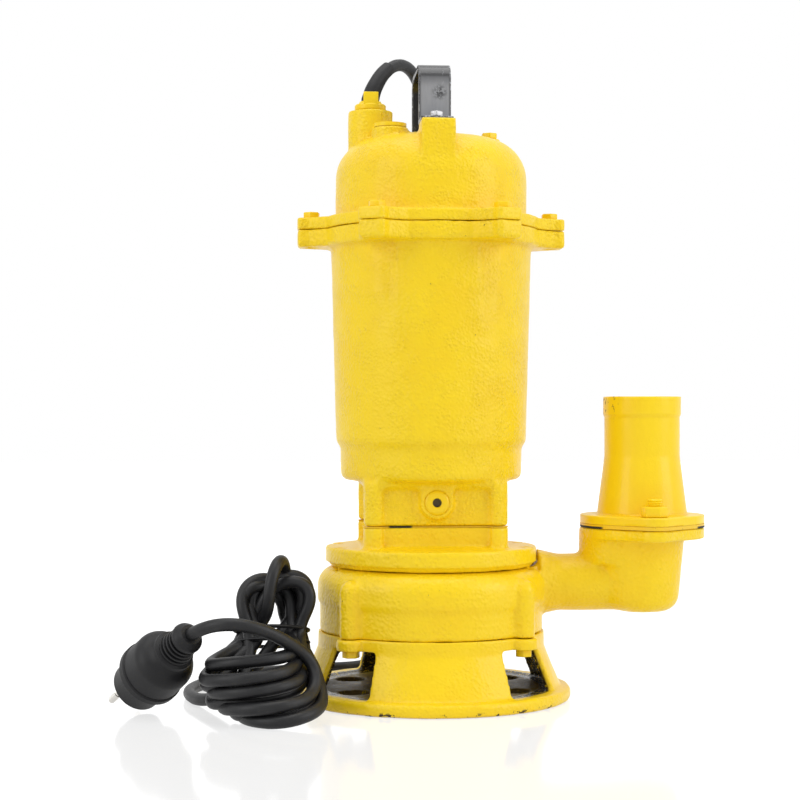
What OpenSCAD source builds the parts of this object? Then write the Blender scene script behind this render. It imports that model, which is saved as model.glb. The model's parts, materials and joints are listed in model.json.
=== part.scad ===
// Submersible sump pump: cast-iron casings, wet end, motor, handle, mains lead and plug.
// Frame: +Z up, origin on the floor under the pump axis, outlet towards +X, oil plug towards -Y.

/* [Strainer base] */
// Radius of the foot flange
foot_r = 93.8; // [92:0.2:96]
// Thickness of the foot flange
foot_t = 9; // [8:0.5:10]
// Thickness of the strainer floor
floor_t = 8; // [7:0.5:8.5]
// Outer radius of the skirt at the foot
skirt_foot_r = 87; // [86:0.5:88]
// Outer radius of the skirt at its top ring
skirt_top_r = 76; // [75:0.5:77]
// Height of the base, up to the pump casing
base_h = 45.7; // [44:0.1:47]
// Height of the underside of the top ring
base_ring_z = 38; // [37:0.5:39]
// Radius of the inlet holes in the floor
inlet_hole_r = 9.5; // [8:0.5:11]
// Radius of the circle of inlet holes
inlet_hole_pitch_r = 61; // [58:1:63]
// Half angle of one side window
window_half_angle = 16.5; // [12:0.5:18]
// Angle of a side window from the side axis
window_angle = 42.5; // [40:0.5:45]

/* [Pump casing] */
// Outer radius of the casing above the base
casing_r = 75; // [74:0.5:77]
// Outer radius of the casing bulge
bulge_r = 76.5; // [76:0.5:78]
// Height of the step under the bulge
bulge_z = 65; // [63:0.5:67]
// Height of the casing's top face
casing_top_z = 89; // [88:0.5:90]
// Radius of the pump chamber
chamber_r = 66; // [62:0.5:67]
// Height of the chamber floor
chamber_floor_z = 54; // [53:0.5:55]
// Radius of the suction eye
eye_r = 25; // [20:0.5:28]
// Radius of a vertical bolt boss
boss_r = 7.5; // [7:0.25:8]
// Radius of the circle of base bolts
base_bolt_pitch_r = 76; // [75:0.5:76.5]

/* [Outlet] */
// Radius of the outlet pipe
pipe_r = 19.3; // [18.5:0.1:20]
// Height of the outlet pipe's axis
pipe_z = 77; // [76:0.5:78]
// Distance of the elbow and the hose tail from the pump axis
elbow_x = 144; // [140:1:150]
// Radius of the elbow under its flange
elbow_r = 28; // [27:0.5:30]
// Height of the elbow flange's top face
elbow_top_z = 114.4; // [113:0.2:116]
// Thickness of the elbow flange
elbow_flange_t = 7.7; // [7:0.1:9]
// Thickness of the outlet gasket
gasket_t = 2.4; // [1.5:0.1:3]
// Thickness of the nozzle flange
nozzle_flange_t = 6; // [5:0.5:7]
// Radius of the middle of both outlet flanges
oval_r = 42; // [40:0.5:43]
// Distance of an outlet bolt from the outlet axis
oval_bolt_y = 42; // [41:0.5:43]
// Radius of the hose tail's straight part
tail_r = 25.5; // [25:0.1:26]
// Radius of the bead round the hose tail's end
bead_r = 26.3; // [26.2:0.1:27]
// Height of the hose tail's end
tail_top_z = 202.5; // [195:0.5:210]

/* [Pump lid and pedestal] */
// Radius of the lid flange
lid_r = 71; // [69:0.5:73]
// Height of the underside of the lid flange
lid_flange_z = 92; // [91:0.5:93]
// Height of the top of the lid flange
lid_top_z = 102.5; // [101:0.5:104]
// Width of the square pedestal
pedestal_w = 95; // [93:1:96]
// Height of the seam between the lid and the motor housing
seam_z = 117.4; // [116:0.2:119]
// Depth of the panels between the pedestal's corner columns
panel_depth = 4; // [2:0.5:5]
// Width of those panels
panel_w = 71; // [66:1:74]
// Radius of the oil chamber
oil_r = 38; // [34:0.5:40]
// Height of the oil plug's axis
oil_plug_z = 133; // [130:0.5:135]

/* [Motor housing] */
// Height of the pedestal's top
pedestal_top_z = 145.5; // [144:0.5:147]
// Outer radius of the ring under the motor barrel
neck_r = 61; // [60:0.5:62]
// Outer radius of the barrel's foot
barrel_foot_r = 64; // [63:0.5:65]
// Outer radius of the barrel under the flange
barrel_top_r = 67.7; // [67:0.1:69]
// Inner radius of the barrel
barrel_bore_r = 57.5; // [56:0.5:58.5]
// Height of the parting face under the top cover
split_z = 314; // [313:0.5:316]
// Thickness of the housing flange
housing_flange_t = 12; // [10:0.5:13]
// Radius of the flanges between their lobes
flange_r = 73; // [72:0.5:74]
// Radius of the circle of cover bolts
cover_bolt_pitch_r = 80.5; // [79:0.5:82]
// Outer radius of a flange lobe's end
lobe_r = 9.5; // [9:0.25:10]

/* [Top cover] */
// Thickness of the cover flange
cover_flange_t = 8; // [7:0.5:9]
// Outer radius of the dome
dome_r = 64.4; // [63:0.2:66]
// Height at which the dome starts to round over
dome_straight_z = 347.7; // [345:0.1:349]
// Height of the dome's crown
dome_top_z = 379; // [377:0.5:380]
// Radius of the dome's shoulder
dome_shoulder_r = 27; // [24:1:29]
// Wall of the dome
dome_wall = 6; // [5:0.5:7]
// Height of the handle posts
post_top_z = 380.8; // [380:0.1:384]
// Distance of the cable boss from the pump axis
gland_x = -41; // [-43:0.5:-39]
// Height of the cable boss
gland_top_z = 394; // [392:0.5:396]

/* [Handle] */
// Width of the handle strap
strap_w = 21.5; // [18:0.5:22]
// Thickness of the handle strap
strap_t = 3; // [2.5:0.5:4]
// Height of the top of the handle
handle_top_z = 422.3; // [418:0.1:426]
// Distance of a handle leg's middle from the pump axis
handle_leg_y = 30; // [28:0.5:32]

/* [Motor] */
// Radius of the rotor
rotor_r = 32.4; // [30:0.1:32.6]
// Radius of the stator bore
stator_bore_r = 33; // [33:0.1:34]
// Height of the bottom of both lamination stacks
stack_z0 = 194; // [190:1:198]
// Height of the top of both lamination stacks
stack_z1 = 268; // [260:1:272]
// Number of impeller vanes
vane_count = 5; // [3:1:7]
// Radius of the impeller
impeller_r = 55; // [50:0.5:58]

/* [Mains lead] */
// Diameter of the mains lead
cord_d = 8.2; // [7.5:0.1:8.4]
// Number of sides of the lead's tube
cord_sides = 10; // [8:1:12]
// Width of the upright part of the folded lead
hank_top_w = 58; // [56:1:60]
// Width of the part of the folded lead that lies on the floor
hank_floor_w = 84; // [82:1:86]
// Height of the part of the folded lead that lies on the floor
hank_floor_h = 40; // [38:1:42]

/* [Hidden] */
$fn = 64;
gap = 0.1;                               // fitting gap round a fastener
lobe_angles = [0:60:300];
window_angles = [window_angle, 180 - window_angle, 180 + window_angle, 360 - window_angle];
base_bolt_angles = window_angles;
inlet_angles = [30:60:330];
lid_screw_xy = 36.5;                      // each way from the pump axis
casing_screw_angles = [20, 160, 200, 340];
casing_screw_r = 65.8;
gasket_z = elbow_top_z;
nozzle_z = elbow_top_z + gasket_t;
cone_z = nozzle_z + nozzle_flange_t;
cone_top_z = 162;
bead_z = 190;
outlet_bore_r = 21.5;
paper_t = 0.6;                           // thickness of the oil chamber's flat gasket
cover_top_z = split_z + cover_flange_t;
hex = 2 / sqrt(3);                       // corner size over size across flats
m6_head = 10;
m10_head = 16;
lower_bearing_z = 151;
lower_bearing_h = 12;
upper_bearing_z = 300;
upper_bearing_h = 11;
oil_top_z = 141;                         // underside of the wall above the oil chamber
seal_wall_z = 150;                       // top of that wall
bracket_seat_z = 305;                    // step in the barrel that carries the bearing bracket
bracket_seat_r = 59.5;
foot_y = 50;                             // end of a handle foot
handle_bend_r = 13;                      // outer radius of the handle's bends
handle_screw_y = 42;
capacitor_z = 343;
capacitor_r = 17.5;
capacitor_y = 14;
cord_r = cord_d / 2;
inner_lead_r = 3.25;                     // radius of the lead inside the pump
hank_top_t = 34;                         // front to back of the upright part
waist = [-107, -46, 40];                 // where the two ties hold the folded lead
waist_w = 44;                            // width of the folded lead between its ties

// Places along the lead from the cable gland, over the dome's back, down and round to its folds.
lead_route = [
    [-41, 0, 402], [-38.5, 2, 410], [-33, 7, 420], [-26, 14, 428], [-18, 25, 432], [-9, 39, 429],
    [-2, 54, 417], [4, 67, 400], [7, 77, 375], [8, 82, 345], [8, 83, 310], [8, 82, 270],
    [8, 81, 230], [8, 82, 190], [7, 83, 150], [6, 85, 115], [4, 88, 82], [0, 93, 52],
    [-8, 101, 28], [-22, 110, 12], [-40, 115, 5], [-64, 114, 4], [-92, 106, 4], [-119, 88, 4],
    [-142, 62, 4], [-158, 32, 4], [-163, 2, 4], [-156, -28, 4], [-143, -50, 8], [-126, -62, 18]];
// Places along the lead inside the pump, from the cable gland to the terminal block.
inner_route = [[gland_x, 0, 402], [gland_x, 0, 385], [gland_x, 0, 368], [-38, -8, 354],
    [-27, -19, 342], [-14, -25, 334], [-4, -26, 328]];
// Places along the lead from its folds to the plug.
plug_route = [
    [-84, -84, 39], [-92, -94, 46], [-103, -101, 54], [-116, -107, 60], [-130, -110, 63],
    [-143, -107, 62], [-151, -101, 58.5], [-157, -92.5, 54]];
plug_at = [-157, -92.5, 54];             // where the lead enters the plug
plug_turn = [0, 122, 126];               // turns the plug's own +Z towards its pins

// ---- shared shapes ----

function arc(c, r, a0, a1, n) =
    [for (i = [0:n]) c + r * [cos(a0 + (a1 - a0) * i / n), sin(a0 + (a1 - a0) * i / n)]];

module ring(ro, ri, z0, z1) {
    translate([0, 0, z0]) difference() {
        cylinder(r = ro, h = z1 - z0);
        translate([0, 0, -1]) cylinder(r = ri, h = z1 - z0 + 2);
    }
}

module rod(r, z0, z1) {
    translate([0, 0, z0]) cylinder(r = r, h = z1 - z0);
}

module hex_rod(af, z0, z1) {
    translate([0, 0, z0]) cylinder(d = af * hex, h = z1 - z0, $fn = 6);
}

module at_polar(r, angles) {
    for (a = angles) rotate([0, 0, a]) translate([r, 0, 0]) children();
}

module turned(points) {
    rotate_extrude($fn = 96) polygon(points);
}

module torus(r, section_r, z) {
    translate([0, 0, z]) rotate_extrude() translate([r, 0]) circle(r = section_r, $fn = 24);
}

// A square with round corners, made of true arcs.
module round_square(w, r) {
    union() {
        square([w - 2 * r, w], center = true);
        square([w, w - 2 * r], center = true);
        for (x = [-1, 1], y = [-1, 1])
            translate([x * (w / 2 - r), y * (w / 2 - r)]) circle(r = r);
    }
}

// The two-bolt flange outline: a middle circle and two end circles joined by their tangents.
module oval_outline() {
    end_r = 12;
    a = asin((oval_r - end_r) / oval_bolt_y);
    n = [cos(a), sin(a)];
    union() {
        circle(r = oval_r);
        for (turn = [0, 180]) rotate(turn) {
            translate([0, oval_bolt_y]) circle(r = end_r);
            polygon([[oval_r * n[0], oval_r * n[1]], [end_r * n[0], oval_bolt_y + end_r * n[1]],
                [-end_r * n[0], oval_bolt_y + end_r * n[1]], [-oval_r * n[0], oval_r * n[1]]]);
        }
    }
}

module oval_flange(z0, z1, bore) {
    translate([elbow_x, 0, z0]) difference() {
        linear_extrude(z1 - z0) oval_outline();
        translate([0, 0, -1]) cylinder(r = bore, h = z1 - z0 + 2);
        for (s = [-1, 1])
            translate([0, s * oval_bolt_y, -1]) cylinder(r = 5 + gap, h = z1 - z0 + 2);
    }
}

// A flange with six square-ended bolt lobes that flare into its rim.
module lobed_flange(z0, z1) {
    corner_r = 2.5;
    end_x = cover_bolt_pitch_r + lobe_r;
    translate([0, 0, z0]) linear_extrude(z1 - z0) union() {
        circle(r = flange_r);
        for (a = lobe_angles) rotate(a) {
            for (s = [-1, 1])
                translate([end_x - corner_r, s * (lobe_r - corner_r)]) circle(r = corner_r);
            translate([0, corner_r - lobe_r]) square([end_x, 2 * (lobe_r - corner_r)]);
            polygon([[60, -26], [end_x - corner_r - 5, -lobe_r], [end_x - corner_r, -lobe_r],
                [end_x - corner_r, lobe_r], [end_x - corner_r - 5, lobe_r], [60, 26]]);
        }
    }
}

// ---- the swept tube of the lead ----

function catmull(a, b, c, d, t) =
    0.5 * ((2 * b) + (c - a) * t + (2 * a - 5 * b + 4 * c - d) * t * t
        + (3 * b - a - 3 * c + d) * t * t * t);

function smooth_route(p, steps) = [
    for (i = [0:len(p) - 2], s = [0:steps - 1])
        catmull(p[max(i - 1, 0)], p[i], p[i + 1], p[min(i + 2, len(p) - 1)], s / steps),
    p[len(p) - 1]];

function unit(v) = v / norm(v);

function tangent(p, i) = unit(p[min(i + 1, len(p) - 1)] - p[max(i - 1, 0)]);

// A side direction that is carried along the route, so that the tube does not twist.
function side_of(v, t) = unit(v - (v * t) * t);
function sides_along(p) = [
    for (i = 0, v = side_of([0.3, 1, 0.2], tangent(p, 0)); i < len(p);
        i = i + 1, v = i < len(p) ? side_of(v, tangent(p, i)) : v) v];

module swept_tube(p, r, n) {
    side = sides_along(p);
    rings = [for (i = [0:len(p) - 1]) let (t = tangent(p, i), u = side[i], v = cross(t, u))
        for (k = [0:n - 1]) p[i] + r * (cos(k * 360 / n) * u + sin(k * 360 / n) * v)];
    walls = [for (i = [0:len(p) - 2], k = [0:n - 1]) let (m = (k + 1) % n)
        [i * n + k, (i + 1) * n + k, (i + 1) * n + m, i * n + m]];
    first = [for (k = [0:n - 1]) k];
    last = [for (k = [n - 1:-1:0]) (len(p) - 1) * n + k];
    polyhedron(points = rings, faces = concat(walls, [first, last]), convexity = 10);
}

// ---- strainer base ----

module base_profile() {
    wall = 5;
    polygon(concat([[0, 0], [foot_r - 3, 0]],
        arc([foot_r - 3, 3], 3, -90, 0, 4), arc([foot_r - 3, foot_t - 3], 3, 0, 90, 4),
        [[skirt_foot_r, foot_t], [skirt_top_r, base_ring_z - 2], [skirt_top_r, base_h],
        [skirt_top_r - 11, base_h], [skirt_top_r - 11, base_ring_z - 1],
        [skirt_top_r - wall, base_ring_z - 4], [skirt_foot_r - wall, floor_t], [0, floor_t]]));
}

module window_cut(angle) {
    reach = 110;
    rotate([0, 0, angle]) translate([0, 0, foot_t])
        linear_extrude(base_ring_z - foot_t)
            polygon([[20, 0], [reach, -reach * tan(window_half_angle)],
                [reach, reach * tan(window_half_angle)]]);
}

module strainer_base() {
    color("gold") difference() {
        union() {
            rotate_extrude($fn = 96) base_profile();
            at_polar(base_bolt_pitch_r, base_bolt_angles) {
                rod(9.5, base_ring_z - 0.5, base_h - 0.3);
                translate([-6, -9, base_ring_z - 0.5]) cube([6, 18, base_h - base_ring_z + 0.2]);
            }
        }
        // The windows are cut last and trim the underside of the ears.
        for (a = window_angles) window_cut(a);
        at_polar(inlet_hole_pitch_r, inlet_angles) rod(inlet_hole_r, -1, floor_t + 1);
        at_polar(base_bolt_pitch_r, base_bolt_angles) rod(3 + gap, base_ring_z - 1, base_h + 1);
    }
}

module base_bolts() {
    color("gold") at_polar(base_bolt_pitch_r, base_bolt_angles) {
        hex_rod(m6_head, base_ring_z - 4.5, base_ring_z);
        rod(3, base_ring_z, 72);
    }
}

// ---- pump casing, outlet elbow and hose tail ----

module casing_body() {
    turned(concat([[0, base_h - 1], [casing_r, base_h - 1], [casing_r, bulge_z],
        [bulge_r, bulge_z + 1],
        [bulge_r, 75]], arc([bulge_r - 13, 76], 13, 0, 90, 8),
        [[lid_r - 8, casing_top_z], [0, casing_top_z]]));
}

module casing_bosses() {
    dome_z = 77;
    at_polar(base_bolt_pitch_r, base_bolt_angles) {
        rod(boss_r, base_h - 2, dome_z);
        translate([0, 0, dome_z]) cylinder(r1 = boss_r, r2 = 0.82 * boss_r, h = 3.5);
        translate([0, 0, dome_z + 3.5]) cylinder(r1 = 0.82 * boss_r, r2 = 2.5, h = 3);
    }
}

// The elbow: two rounded columns side by side, under a wide head that carries the flange.
module elbow_column(shift, r, bottom_z) {
    corner_r = 12;
    translate([elbow_x - shift, 0, 0]) rotate_extrude()
        polygon(concat([[0, bottom_z], [r - corner_r - 3, bottom_z]],
            arc([r - corner_r - 3, bottom_z + corner_r], corner_r, -90, 0, 6),
            [[r, bottom_z + 43], [r, elbow_top_z - 1], [0, elbow_top_z - 1]]));
}

module elbow_body() {
    bottom_z = pipe_z - pipe_r - 0.7;
    head_r = 25;
    elbow_column(0, elbow_r, bottom_z);
    elbow_column(9, elbow_r - 1, bottom_z + 1.2);
    translate([elbow_x - 18, 0, 0]) rod(head_r, 90, elbow_top_z - 1);
}

module outlet_bores() {
    bore_z = pipe_z - 2;
    translate([64, 0, bore_z]) rotate([0, 90, 0]) cylinder(r = 13, h = elbow_x - 64);
    translate([elbow_x, 0, bore_z - 14]) cylinder(r = 15, h = 40);
    translate([elbow_x, 0, elbow_top_z - 20]) cylinder(r = outlet_bore_r, h = 30);
}

module pump_casing() {
    color("gold") difference() {
        union() {
            casing_body();
            casing_bosses();
            translate([68, 0, pipe_z]) rotate([0, 90, 0]) cylinder(r = pipe_r, h = elbow_x - 68);
            translate([72, 0, pipe_z]) rotate([0, 90, 0])
                cylinder(r1 = pipe_r + 3, r2 = pipe_r, h = 14);
            elbow_body();
            oval_flange(elbow_top_z - elbow_flange_t, elbow_top_z, 1);
        }
        // Trims the casing and its bosses to one flat underside.
        rod(100, base_h - 5, base_h);
        rod(chamber_r, chamber_floor_z, 78);
        rod(61, 77, casing_top_z + 20);
        // Room for the lid's flange over the root of the pipe.
        rod(lid_r + 0.3, casing_top_z, lid_top_z);
        rod(eye_r, base_h - 1, chamber_floor_z + 1);
        outlet_bores();
        at_polar(base_bolt_pitch_r, base_bolt_angles) rod(3 + gap, base_h - 1, 74);
        at_polar(casing_screw_r, casing_screw_angles) rod(2 + gap, 79, casing_top_z + 1);
    }
}

module outlet_gasket() {
    color("dimgray") oval_flange(gasket_z, nozzle_z, outlet_bore_r);
}

module outlet_nozzle() {
    color("gold") {
        oval_flange(nozzle_z, cone_z, outlet_bore_r);
        translate([elbow_x, 0, 0]) turned([
            [outlet_bore_r, cone_z], [30.6, cone_z], [tail_r, cone_top_z], [tail_r, bead_z],
            [bead_r, bead_z], [bead_r, tail_top_z], [outlet_bore_r, tail_top_z]]);
    }
}

module outlet_studs() {
    color("gold") for (s = [-1, 1]) translate([elbow_x, s * oval_bolt_y, 0]) {
        rod(5, elbow_top_z - elbow_flange_t, cone_z + 12);
    }
}

module outlet_nuts() {
    color("gold") for (s = [-1, 1]) translate([elbow_x, s * oval_bolt_y, 0]) difference() {
        hex_rod(m10_head, cone_z, cone_z + 7);
        rod(5 + gap, cone_z - 1, cone_z + 8);
    }
}

// ---- impeller ----

module vane() {
    // A curved blade: a slice of a leaning ring wall from the hub to the rim.
    intersection() {
        translate([-16, 28, 0]) difference() {
            cylinder(r = 34, h = 18);
            translate([0, 0, -1]) cylinder(r = 30, h = 20);
        }
        translate([0, -12, -1]) cube([60, 60, 20]);
    }
}

module impeller() {
    color("dimgray") difference() {
        union() {
            rod(14, 59, 79);
            rod(impeller_r, 73, 77.5);
            intersection() {
                for (k = [0:vane_count - 1]) rotate([0, 0, k * 360 / vane_count])
                    translate([0, 0, 56]) vane();
                rod(impeller_r - 0.5, 56, 73);
            }
        }
        rod(7 + gap / 2, 50, 80);
        // Room for the nut and its washer between the roots of the vanes.
        rod(9.7, 50, 59);
        translate([6, -2.05, 60]) cube([3.1, 4.1, 20]);
    }
}

module impeller_key() {
    color("silver") translate([4.6, -2, 61]) cube([4.4, 4, 16]);
}

module impeller_nut() {
    color("silver") difference() {
        union() {
            rod(9, 57.5, 59);
            hex_rod(16, 51, 57.5);
        }
        rod(5 + gap, 50, 60);
    }
}

// ---- lid and oil chamber ----

module pedestal_block(z0, z1) {
    translate([0, 0, z0]) linear_extrude(z1 - z0) round_square(pedestal_w, 9);
}

module panel_cuts(z0, z1) {
    for (a = [0:90:270]) rotate([0, 0, a])
        translate([pedestal_w / 2 - panel_depth, -panel_w / 2, z0])
            cube([panel_depth + 1, panel_w, z1 - z0]);
}

module lid_corner_holes(r, z0, z1) {
    for (x = [-1, 1], y = [-1, 1])
        translate([x * lid_screw_xy, y * lid_screw_xy, 0]) rod(r, z0, z1);
}

module pump_lid() {
    color("gold") difference() {
        union() {
            turned([[0, 80], [60.8, 80], [60.8, casing_top_z], [lid_r - 3, casing_top_z],
                [lid_r - 3, lid_flange_z], [lid_r, lid_flange_z], [lid_r, lid_top_z - 1],
                [lid_r - 1, lid_top_z], [0, lid_top_z]]);
            difference() {
                pedestal_block(lid_top_z - 1, seam_z - paper_t);
                panel_cuts(lid_top_z + 1, seam_z);
            }
        }
        rod(oil_r, 92, seam_z + 1);
        rod(9, 79, 93);
        rod(14, 86, 93);
        lid_corner_holes(3 + gap, 79, seam_z);
        lid_corner_holes(5.2, 79, 86);
        at_polar(casing_screw_r, casing_screw_angles) {
            rod(2 + gap, casing_top_z - 1, lid_top_z + 1);
            rod(3.8, lid_top_z - 4, lid_top_z + 1);
        }
        torus(60.8, 1.6, 86.8);
    }
}

module lid_seal_ring() {
    color("black") torus(60.2, 0.75, 86.8);
}

module casing_screws() {
    color("gold") at_polar(casing_screw_r, casing_screw_angles) {
        difference() {
            rod(3.7, lid_top_z - 4, lid_top_z);
            hex_rod(3, lid_top_z - 2.5, lid_top_z + 1);
        }
        rod(2, 80, lid_top_z - 4);
    }
}

module lid_screws() {
    color("silver") for (x = [-1, 1], y = [-1, 1])
        translate([x * lid_screw_xy, y * lid_screw_xy, 0]) {
            difference() {
                rod(5, 80, 86);
                hex_rod(5, 79, 83);
            }
            rod(3, 86, 134);
        }
}

module chamber_gasket() {
    color("dimgray") difference() {
        pedestal_block(seam_z - paper_t, seam_z);
        panel_cuts(seam_z - 2, seam_z + 1);
        rod(oil_r, seam_z - 2, seam_z + 1);
        lid_corner_holes(3 + gap, seam_z - 2, seam_z + 1);
    }
}

module seal_seat() {
    color("white") ring(13.95, 9.2, 86, 92);
}

module seal_head() {
    color("black") {
        ring(12.5, 8.05, 92.05, 96);
        ring(10.5, 8.05, 96, 100);
    }
}

module seal_spring() {
    // Turns that touch, drawn as one folded sleeve.
    turns = 6;
    turn_h = 15 / turns;
    color("silver") turned(concat(
        [for (i = [0:turns]) [9, 100 + i * turn_h]],
        [for (i = [turns:-1:1]) each [[9.8, 100 + i * turn_h], [11, 100 + (i - 0.5) * turn_h]]],
        [[9.8, 100]]));
}

module shaft_lip_seal() {
    color("saddlebrown") ring(14.95, 8.05, 142.5, 149.5);
}

// ---- motor housing ----

module oil_boss() {
    translate([0, -pedestal_w / 2 - 1, oil_plug_z]) rotate([-90, 0, 0])
        cylinder(r = 11, h = panel_depth + 3);
    translate([-11, -pedestal_w / 2 - 1, oil_plug_z])
        cube([22, panel_depth + 3, pedestal_top_z - oil_plug_z + 1]);
}

module housing_outside() {
    difference() {
        pedestal_block(seam_z, pedestal_top_z + 1);
        panel_cuts(seam_z - 1, pedestal_top_z - 3);
    }
    oil_boss();
    turned(concat([[0, pedestal_top_z], [50, pedestal_top_z]],
        arc([neck_r - 5, pedestal_top_z + 6], 5, -70, 0, 4),
        [[neck_r, 168], [barrel_foot_r, 172.5], [barrel_top_r, split_z - 4],
        [0, split_z - 4]]));
    lobed_flange(split_z - housing_flange_t, split_z);
}

// Upright flats under the front and back lobes, which run out down the tapering barrel.
module spanner_flats() {
    inner_edge_angle = 24.4;
    flat_r = 65.7;
    flat_top_z = split_z - housing_flange_t;
    for (t = [90, 270], s = [-1, 1]) rotate([0, 0, t + s * inner_edge_angle])
        translate([flat_r, s > 0 ? 0 : -24, 220]) cube([20, 24, flat_top_z - 220]);
}

module housing_inside() {
    rod(barrel_bore_r, 177, split_z + 1);
    rod(bracket_seat_r, bracket_seat_z, split_z + 1);
    turned([[0, seal_wall_z + 1], [20, seal_wall_z + 1], [20, 168], [50, 170],
        [barrel_bore_r, 178], [0, 178]]);
    rod(oil_r, seam_z - 1, oil_top_z);
    rod(15, oil_top_z - 1, 149.6);
    rod(10, 140, seal_wall_z + 2);
}

module motor_housing() {
    color("gold") difference() {
        housing_outside();
        housing_inside();
        spanner_flats();
        lid_corner_holes(3 + gap, seam_z - 1, 136);
        at_polar(cover_bolt_pitch_r, lobe_angles)
            rod(3 + gap, split_z - housing_flange_t - 1, split_z + 1);
        translate([0, -pedestal_w / 2 - 2, oil_plug_z]) rotate([-90, 0, 0])
            cylinder(r = 6 + gap, h = 20);
        translate([0, -pedestal_w / 2 - 2, oil_plug_z]) rotate([-90, 0, 0])
            cylinder(r = 8, h = 3);
        torus(64.8, 1.35, split_z);
    }
}

module oil_plug() {
    color("gold") translate([0, -pedestal_w / 2 - 1, oil_plug_z]) rotate([-90, 0, 0])
        difference() {
            union() {
                translate([0, 0, -0.8]) cylinder(r = 7.8, h = 2);
                translate([0, 0, 1.2]) cylinder(r = 6, h = 10);
            }
            translate([0, 0, -1]) cylinder(d = 5 * hex, h = 5, $fn = 6);
        }
}

module oil_plug_washer() {
    color("sienna") translate([0, -pedestal_w / 2 + 0.2, oil_plug_z]) rotate([-90, 0, 0])
        ring(7.8, 6 + gap, 0, 0.8);
}

// ---- motor ----

module stator_core() {
    color("slategray") difference() {
        rod(barrel_bore_r - 0.02, stack_z0, stack_z1);
        rod(stator_bore_r, stack_z0 - 1, stack_z1 + 1);
        at_polar(36, [0:20:340]) translate([0, -2.2, stack_z0 - 1])
            cube([13, 4.4, stack_z1 - stack_z0 + 2]);
    }
}

module winding(z0, z1) {
    color("chocolate") turned([[38, z0], [52, z0], [53, z0 + 2], [53, z1 - 2], [52, z1],
        [38, z1], [36, z1 - 2], [36, z0 + 2]]);
}

module lower_winding() { winding(stack_z0 - 16, stack_z0); }

module upper_winding() { winding(stack_z1, stack_z1 + 20); }

module motor_shaft() {
    color("silver") difference() {
        union() {
            rod(5, 50, 59);
            rod(7, 59, 80);
            rod(8, 80, lower_bearing_z);
            rod(8.5, lower_bearing_z, lower_bearing_z + lower_bearing_h);
            rod(10, lower_bearing_z + lower_bearing_h, upper_bearing_z);
            rod(7.5, upper_bearing_z, 311.8);
        }
        translate([4.55, -2.05, 60.9]) cube([4, 4.1, 16.2]);
    }
}

module rotor_core() {
    color("slategray") difference() {
        rod(rotor_r, stack_z0, stack_z1);
        rod(10, stack_z0 - 1, stack_z1 + 1);
    }
}

module rotor_end_rings() {
    color("lightgray") {
        ring(rotor_r - 1, 20, stack_z0 - 7, stack_z0);
        ring(rotor_r - 1, 20, stack_z1, stack_z1 + 7);
        at_polar(28, [0:60:300]) translate([-1, -3, stack_z1 + 7]) cube([2, 6, 5]);
    }
}

module race_groove(r, ball_r, z) {
    translate([0, 0, z]) rotate_extrude() translate([r, 0]) circle(r = ball_r, $fn = 32);
}

module bearing_outer(r, pitch_r, ball_r, z, h) {
    color("lightsteelblue") difference() {
        ring(r, pitch_r + ball_r - 1.6, z, z + h);
        race_groove(pitch_r, ball_r + 0.05, z + h / 2);
    }
}

module bearing_inner(r, pitch_r, ball_r, z, h) {
    color("lightsteelblue") difference() {
        ring(pitch_r - ball_r + 1.6, r, z, z + h);
        race_groove(pitch_r, ball_r + 0.05, z + h / 2);
    }
}

module bearing_balls(pitch_r, ball_r, z, count) {
    color("white") {
        at_polar(pitch_r, [0:360 / count:359]) translate([0, 0, z]) sphere(r = ball_r, $fn = 32);
        ring(pitch_r + 0.8, pitch_r - 0.8, z - 0.8, z + 0.8);
    }
}

module lower_bearing_outer() {
    bearing_outer(20, 14.2, 3.2, lower_bearing_z, lower_bearing_h);
}

module lower_bearing_inner() {
    bearing_inner(8.5, 14.2, 3.2, lower_bearing_z, lower_bearing_h);
}

module lower_bearing_balls() {
    bearing_balls(14.2, 3.2, lower_bearing_z + lower_bearing_h / 2, 8);
}

module upper_bearing_outer() {
    bearing_outer(17.5, 12.5, 2.8, upper_bearing_z, upper_bearing_h);
}

module upper_bearing_inner() {
    bearing_inner(7.5, 12.5, 2.8, upper_bearing_z, upper_bearing_h);
}

module upper_bearing_balls() {
    bearing_balls(12.5, 2.8, upper_bearing_z + upper_bearing_h / 2, 8);
}

module bearing_spring_washer() {
    color("silver") ring(17, 13, upper_bearing_z + upper_bearing_h, 312);
}

module bearing_bracket() {
    color("gold") difference() {
        union() {
            ring(bracket_seat_r - 0.05, 50, bracket_seat_z, split_z);
            ring(barrel_bore_r - 0.05, 50, 296, bracket_seat_z);
            rod(51, 296, 300);
            rod(22, 296, 315);
        }
        rod(17.5, upper_bearing_z, 312);
        rod(12, 295, 313);
        at_polar(36, [30:60:330]) rod(7, 290, 305);
    }
}

// ---- top cover ----

module cover_seal_ring() {
    color("black") torus(64.8, 1.3, split_z);
}

module dome_solid(r, z0, straight_z, top_z, shoulder_r) {
    turned(concat([[0, z0], [r, z0]],
        arc([r - shoulder_r, straight_z], shoulder_r, 0, 80, 10),
        [[18, top_z], [0, top_z + 0.5]]));
}

module handle_posts() {
    post_z = dome_straight_z - 6;
    outer_y = dome_r - 1.2;
    for (s = [-1, 1]) translate([-11, s > 0 ? 34 : -outer_y, post_z])
        cube([22, outer_y - 34, post_top_z - post_z]);
}

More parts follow.
